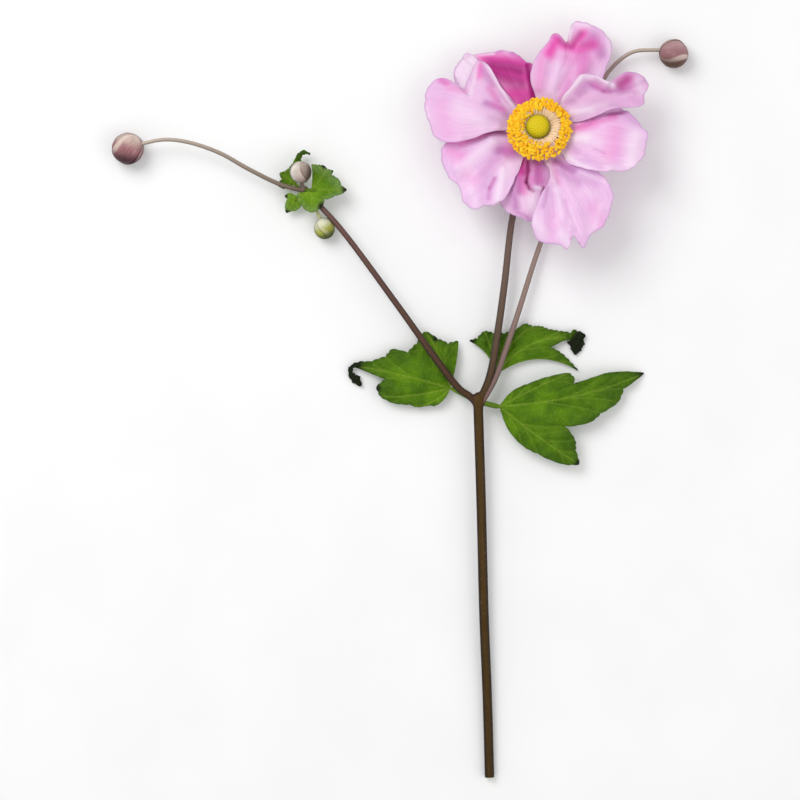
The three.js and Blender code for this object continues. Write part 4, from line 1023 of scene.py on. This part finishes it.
class Finish:
    """A material with one Principled shader, its body colour so far, and short calls for its nodes."""

    def __init__(self, name, body, **settings):
        self.material = bpy.data.materials.new(name)
        self.material.use_nodes = True
        self.tree = self.material.node_tree
        self.shader = self.tree.nodes["Principled BSDF"]
        self.body = body
        for socket, value in settings.items():
            self.shader.inputs[socket.replace("_", " ")].default_value = value

    def set(self, socket, value):
        if isinstance(value, bpy.types.NodeSocket):
            self.tree.links.new(value, socket)
        else:
            socket.default_value = value

    def node(self, kind, inputs=(), **settings):
        node = self.tree.nodes.new(kind)
        for name, value in settings.items():
            setattr(node, name, value)
        for socket, value in dict(inputs).items():
            self.set(node.inputs[socket], value)
        return node

    def math(self, operation, first, second):
        return self.node("ShaderNodeMath", {0: first, 1: second}, operation=operation).outputs[0]

    def mark(self, name, strength=1.0):
        """A number that the points carry, times the strength."""
        value = self.node("ShaderNodeAttribute", attribute_name=name).outputs["Fac"]
        return value if strength == 1 else self.math("MULTIPLY", value, strength)

    def place(self):
        """Where the point is, in millimetres."""
        where = self.node("ShaderNodeTexCoord").outputs["Object"]
        return self.node("ShaderNodeVectorMath", {0: where, 3: 1 / MM}, operation="SCALE").outputs[0]

    def noise(self, where, scale, detail=2.0, distortion=0.0):
        inputs = {"Vector": where, "Scale": scale, "Detail": detail, "Distortion": distortion}
        return self.node("ShaderNodeTexNoise", inputs).outputs["Fac"]

    def grain(self, scale, detail=2.0):
        return self.noise(self.place(), scale, detail)

    def streaks(self, across, along, detail=2.0, distortion=0.0):
        """Noise that runs along a piece. across and along are each a mark and how often it changes."""
        where = self.node("ShaderNodeCombineXYZ", {0: self.mark(*across), 1: self.mark(*along)})
        return self.noise(where.outputs[0], 1.0, detail, distortion)

    def net(self, where, scale):
        """How far the point is from the lines of a net."""
        inputs = {"Vector": where, "Scale": scale}
        return self.node("ShaderNodeTexVoronoi", inputs, feature="DISTANCE_TO_EDGE").outputs["Distance"]

    def range(self, value, low, high, to_low=0.0, to_high=1.0):
        inputs = {0: value, 1: low, 2: high, 3: to_low, 4: to_high}
        return self.node("ShaderNodeMapRange", inputs, interpolation_type="SMOOTHSTEP").outputs[0]

    def tint(self, share, shade):
        """Lays a share of a shade over the body colour."""
        node = self.node("ShaderNodeMix", {0: share}, data_type="RGBA")
        for socket, value in ((node.inputs[6], self.body), (node.inputs[7], shade)):
            self.set(socket, colour(value) if isinstance(value, str) else value)
        self.body = node.outputs[2]

    def finished(self, roughness, relief=None, depth=0.0, strength=1.0):
        """The material, with the body colour, the roughness and a relief of that depth in millimetres."""
        self.set(self.shader.inputs["Base Color"], self.body)
        self.set(self.shader.inputs["Roughness"], roughness)
        if relief:
            inputs = {"Height": relief, "Distance": depth * MM, "Strength": strength}
            self.set(self.shader.inputs["Normal"], self.node("ShaderNodeBump", inputs).outputs[0])
        return self.material


def tepal_material():
    """Lilac pink, white at the foot, rose to magenta in the folds as own colour and painted shade, near white
    on ridges as painted highlight, with fine veins from claw to margin.
    """
    finish = Finish("tepal", "#f3c9ed", Subsurface_Weight=0.12, Subsurface_Scale=0.001,
                    Subsurface_Radius=(1.0, 0.5, 0.85), Specular_IOR_Level=0.12, Sheen_Weight=0.04,
                    Sheen_Roughness=0.5)
    part = finish.mark("part")
    streaks = finish.streaks(("across", 22), ("part", 2.2), 3, 0.15)
    fine = finish.streaks(("across", 70), ("part", 4))
    finish.tint(finish.range(finish.grain(0.09), 0.35, 0.65), "#ebc1ea")
    finish.tint(finish.range(streaks, 0.45, 0.75, 0, 0.35), "#fadcf4")
    finish.tint(finish.mark("dusty"), "#e2b0d6")
    finish.tint(finish.range(part, 0.4, 0.12, 0, 0.35), "#f4dcf0")
    finish.tint(finish.range(fine, 0.52, 0.75, 0, 0.22), "#cf8bca")
    uneven = finish.range(streaks, 0.2, 0.7, 0.94, 1.03)
    # The mauve, rose and deep pink marks: partly the tepal's own colour, partly painted shade in folds, curls
    # and under overlapping tepals.
    for name, shade in (("mauve", "#b974b2"), ("rose", "#ee52b6"), ("deep_and_painted_shade", "#940068")):
        finish.tint(finish.math("MULTIPLY", finish.mark(name, 0.92), uneven), shade)
    # The near-white marks: partly the tepal's own colour, partly painted highlight on ridges, lips and bright
    # edges.
    finish.tint(finish.mark("pale", 0.7), "#fbeaf9")
    # A greyer rim beyond the claw, partly the thin edge's own tone and partly painted shade.
    beyond_claw = finish.range(part, 0.3, 0.6, 0, 0.5)
    margin = finish.math("MULTIPLY", finish.range(finish.mark("rim"), 0.955, 1.0), beyond_claw)
    finish.tint(margin, "#b48cba")
    relief = finish.math("ADD", finish.math("MULTIPLY", streaks, 0.7), finish.math("MULTIPLY", fine, 0.3))
    return finish.finished(finish.range(streaks, 0.3, 0.7, 0.65, 0.5), relief, 0.6, 0.7)


def anther_material():
    """Powdery gold, with painted shade in the groove of each pod, and of a slightly different tone on each.
    """
    finish = Finish("anther", "#ffd62a", Subsurface_Weight=0.1, Subsurface_Scale=0.0005,
                    Subsurface_Radius=(1.0, 0.6, 0.1), Specular_IOR_Level=0.15)
    grain = finish.grain(9.0)
    finish.tint(finish.mark("tone"), "#fdb616")
    finish.tint(finish.range(grain, 0.5, 0.75, 0, 0.45), "#ffe066")
    # Painted shade: browner in the groove of each pod.
    finish.tint(finish.range(finish.mark("groove"), 0.55, 0.9, 0, 0.3), "#e08a08")
    return finish.finished(finish.range(grain, 0.3, 0.7, 0.85, 0.65), grain, 0.08)


def filament_material():
    """Cream, peach towards the foot."""
    finish = Finish("filament", "#ffc884", Subsurface_Weight=0.15, Subsurface_Scale=0.0006,
                    Subsurface_Radius=(1.0, 0.8, 0.6), Specular_IOR_Level=0.3)
    grain = finish.grain(3.0)
    finish.tint(finish.mark("up"), "#ffeacc")
    finish.tint(finish.range(grain, 0.4, 0.7, 0, 0.35), "#ffd0a8")
    return finish.finished(finish.range(grain, 0.3, 0.7, 0.5, 0.35), grain, 0.03)


def carpel_material():
    """Bosses that grade from olive below to bright yellow on top as painted light, with paler beaks, and
    deeper green between them as painted shade.
    """
    finish = Finish("carpel", "#7c8004", Subsurface_Weight=0.15, Subsurface_Scale=0.0008,
                    Specular_IOR_Level=0.22)
    grain = finish.grain(4.0, 3)
    # Painted highlight and shade: bright yellow where the head faces up, olive on its lower side.
    finish.tint(finish.range(finish.mark("up"), 0.0, 0.9), "#e6cb06")
    # Painted shade: deeper green between the bosses.
    finish.tint(finish.mark("between", 0.3), "#9a960a")
    finish.tint(finish.mark("beak", 0.25), "#ece04a")
    finish.tint(finish.range(grain, 0.45, 0.8, 0, 0.3), "#b8a808")
    return finish.finished(finish.range(grain, 0.3, 0.7, 0.6, 0.42), grain, 0.05)


def stem_material():
    """Dark brown skin, mauve on the branches, olive or cream on the thin stalks, finely ribbed, with painted
    highlight where the olive shows most on the upper side and painted shade on the sides and on the side
    facing down the picture.
    """
    finish = Finish("stem", "#160c04", Subsurface_Weight=0.02, Subsurface_Scale=0.0005,
                    Specular_IOR_Level=0.16)
    ribs = finish.streaks(("turn", 26), ("along", 0.05), 3)
    finish.tint(finish.range(finish.grain(0.12, 3), 0.35, 0.65), "#26170a")
    finish.tint(finish.mark("mauve"), "#8a5c62")
    # Painted highlight: the olive shows most where the skin faces up.
    facing_up = finish.range(finish.mark("top"), 0.6, 0.98, 0.3, 1)
    finish.tint(finish.math("MULTIPLY", finish.mark("olive"), facing_up), "#5e4404")
    # Painted shade on the sides of each stalk.
    finish.tint(finish.range(finish.mark("top"), 0.95, 0.4, 0, 0.8), "#170e09")
    finish.tint(finish.range(ribs, 0.5, 0.72, 0, 0.2), "#6e5236")
    finish.tint(finish.range(ribs, 0.45, 0.25, 0, 0.35), "#160d08")
    finish.tint(finish.mark("cream"), "#cdbfb0")
    # Painted shade on the side facing down the picture.
    finish.tint(finish.range(finish.mark("below"), 0.0, 0.9, 0, 0.5), "#3a2c22")
    finish.tint(finish.range(finish.mark("olive"), 0.85, 1.0, 0, 0.9), "#c6c894")
    finish.tint(finish.mark("pith"), "#cfd3a4")
    return finish.finished(finish.range(ribs, 0.3, 0.7, 0.6, 0.42), ribs, 0.2)


def leaf_material():
    """Fresh yellow-green with slightly paler veins and a fine net, darker towards the margin as painted
    shade, black-green where it has died.
    """
    finish = Finish("leaf", "#406800", Subsurface_Weight=0.06, Subsurface_Scale=0.0008,
                    Subsurface_Radius=(0.5, 1.0, 0.2), Specular_IOR_Level=0.17)
    where = finish.place()
    patches = finish.noise(where, 0.16, 3)
    net = finish.net(where, 0.75)
    small_net = finish.net(where, 2.2)
    finish.tint(finish.range(patches, 0.25, 0.75), "#638e04")
    # Painted shade: darker green towards the margin.
    finish.tint(finish.mark("outer", 0.45), "#31540a")
    finish.tint(finish.math("MULTIPLY", finish.mark("outer"), finish.mark("frost")), "#a2c07c")
    finish.tint(finish.mark("fresh"), "#7fae1e")
    finish.tint(finish.range(small_net, 0.0, 0.12, 0.1, 0), "#6f9208")
    finish.tint(finish.range(net, 0.0, 0.07, 0.15, 0), "#7a9c10")
    finish.tint(finish.mark("vein", 0.35), "#9cb340")
    # Painted shade: darker still along the rim.
    finish.tint(finish.mark("margin", 0.35), "#2c4608")
    finish.tint(finish.mark("dark"), "#1a220c")
    roughness = finish.math("ADD", finish.range(patches, 0.3, 0.7, 0.45, 0.32), finish.mark("dark", 0.3))
    quilting = finish.math("ADD", finish.range(net, 0.0, 0.25), finish.range(small_net, 0.0, 0.3, 0, 0.35))
    return finish.finished(roughness, quilting, 0.2)


def bud_material(name, dark, middle, light, silver_highlight):
    """Silky closed tepals: streaked from stalk to tip, pale along each margin, with painted highlight on one
    side and painted shade on the other, towards the rim and in the furrow under each edge.
    """
    finish = Finish(name, middle, Subsurface_Weight=0.1, Subsurface_Scale=0.001, Specular_IOR_Level=0.3,
                    Sheen_Weight=0.05, Sheen_Roughness=0.4)
    streaks = finish.streaks(("across", 16), ("tip", 1.2), 3)
    # Painted highlight on the side away from dark_side.
    finish.tint(finish.range(finish.mark("low"), 0.1, -0.8, 0, silver_highlight), light)
    finish.tint(finish.range(finish.grain(0.3), 0.3, 0.7, 0, 0.25), dark)
    finish.tint(finish.range(streaks, 0.5, 0.75, 0, 0.25), light)
    finish.tint(finish.range(streaks, 0.45, 0.25, 0, 0.25), dark)
    finish.tint(finish.mark("margin"), "#e6d6c8")
    # Painted shade in the furrow under each tepal's edge, towards the rim of the ball and on the dark side.
    finish.tint(finish.mark("furrow", 0.6), dark)
    finish.tint(finish.range(finish.mark("side"), 0.35, 1.0, 0, 0.7), dark)
    finish.tint(finish.range(finish.mark("low"), 0.0, 0.8), dark)
    return finish.finished(finish.range(streaks, 0.3, 0.7, 0.7, 0.5), streaks, 0.15)


def hair_material():
    """Fine dull hairs, a little lighter and darker by turns."""
    finish = Finish("hair", "#a8928c", Specular_IOR_Level=0.5, Sheen_Weight=0.4)
    grain = finish.grain(0.5, 1)
    finish.tint(grain, "#8a746c")
    return finish.finished(finish.range(grain, 0.3, 0.7, 0.5, 0.35))


def floor_material():
    finish = Finish("floor", "#f7f7f7", Specular_IOR_Level=0.2)
    grain = finish.grain(0.02)
    finish.tint(finish.range(grain, 0.3, 0.7), "#fafafa")
    return finish.finished(finish.range(grain, 0.3, 0.7, 0.85, 0.8))


# ---------------------------------------------------------------- floor, light and camera


def make_floor():
    reach = FLOOR_REACH
    mesh = bpy.data.meshes.new("floor")
    mesh.from_pydata([(-reach, -reach, 0), (reach, -reach, 0), (reach, reach, 0), (-reach, reach, 0)], [],
                     [(0, 1, 2, 3)])
    mesh.materials.append(floor_material())
    floor = bpy.data.objects.new("floor", mesh)
    bpy.context.scene.collection.objects.link(floor)


def make_light(name, place, size, power):
    """A square soft box that looks at the middle of the flower."""
    lamp = bpy.data.lights.new(name, "AREA")
    lamp.size = size
    lamp.energy = power
    light = bpy.data.objects.new(name, lamp)
    light.location = place
    light.rotation_euler = (-Vector(place)).to_track_quat("-Z", "Y").to_euler()
    bpy.context.scene.collection.objects.link(light)


def make_sky():
    """Even white light from all round."""
    world = bpy.data.worlds.new("sky")
    world.use_nodes = True
    background = world.node_tree.nodes["Background"]
    background.inputs["Color"].default_value = (1, 1, 1, 1)
    background.inputs["Strength"].default_value = SKY_STRENGTH
    bpy.context.scene.world = world


def make_camera():
    """Straight above the flower, with the bloom at the top of the picture."""
    lens = bpy.data.cameras.new("camera")
    lens.sensor_width = SENSOR
    lens.lens = SENSOR * CAMERA_HEIGHT / VIEW_SIDE
    camera = bpy.data.objects.new("camera", lens)
    camera.location = (0, 0, CAMERA_HEIGHT)
    bpy.context.scene.collection.objects.link(camera)
    bpy.context.scene.camera = camera


# ---------------------------------------------------------------- the whole scene


def make_flower():
    petal = tepal_material()
    for tepal in TEPALS:
        make_piece(f"{tepal['name']}_blade", tepal_shape(tepal), petal, "tepal", tepal["name"])

    filaments, anthers = stamen_shapes()
    make_piece("filaments", filaments, filament_material(), "stamen", "stamens")
    make_piece("anthers", anthers, anther_material(), "stamen", "stamens")
    make_piece("carpels", carpel_shape(), carpel_material(), "carpel", "carpel_head")

    stalks = stalk_paths()
    make_piece("stem", stem_shape(stalks), stem_material(), "stem", "flower_stem")

    green = leaf_material()
    for leaf in LEAVES:
        make_piece(f"{leaf['name']}_blade", leaf_shape(leaf), green, "leaf", leaf["name"])

    buds = [bud_shape(bud) for bud in BUDS]
    for bud, shape in zip(BUDS, buds):
        silk = bud_material(f"{bud['name']}_silk", *bud["colours"], bud["silver_highlight"])
        make_piece(f"{bud['name']}_silk", shape, silk, bud["slot"], bud["name"])

    hair = hair_material()
    make_piece("stem_hairs", stalk_hairs(stalks), hair, "stem", "flower_stem")
    make_piece("bud_hairs", bud_hairs(buds), hair, "mauve_bud", *[bud["name"] for bud in BUDS])


make_flower()
make_floor()
make_sky()
make_light("key", **KEY_LIGHT)
make_light("fill", **FILL_LIGHT)
make_camera()
bpy.context.scene.view_settings.view_transform = "Standard"
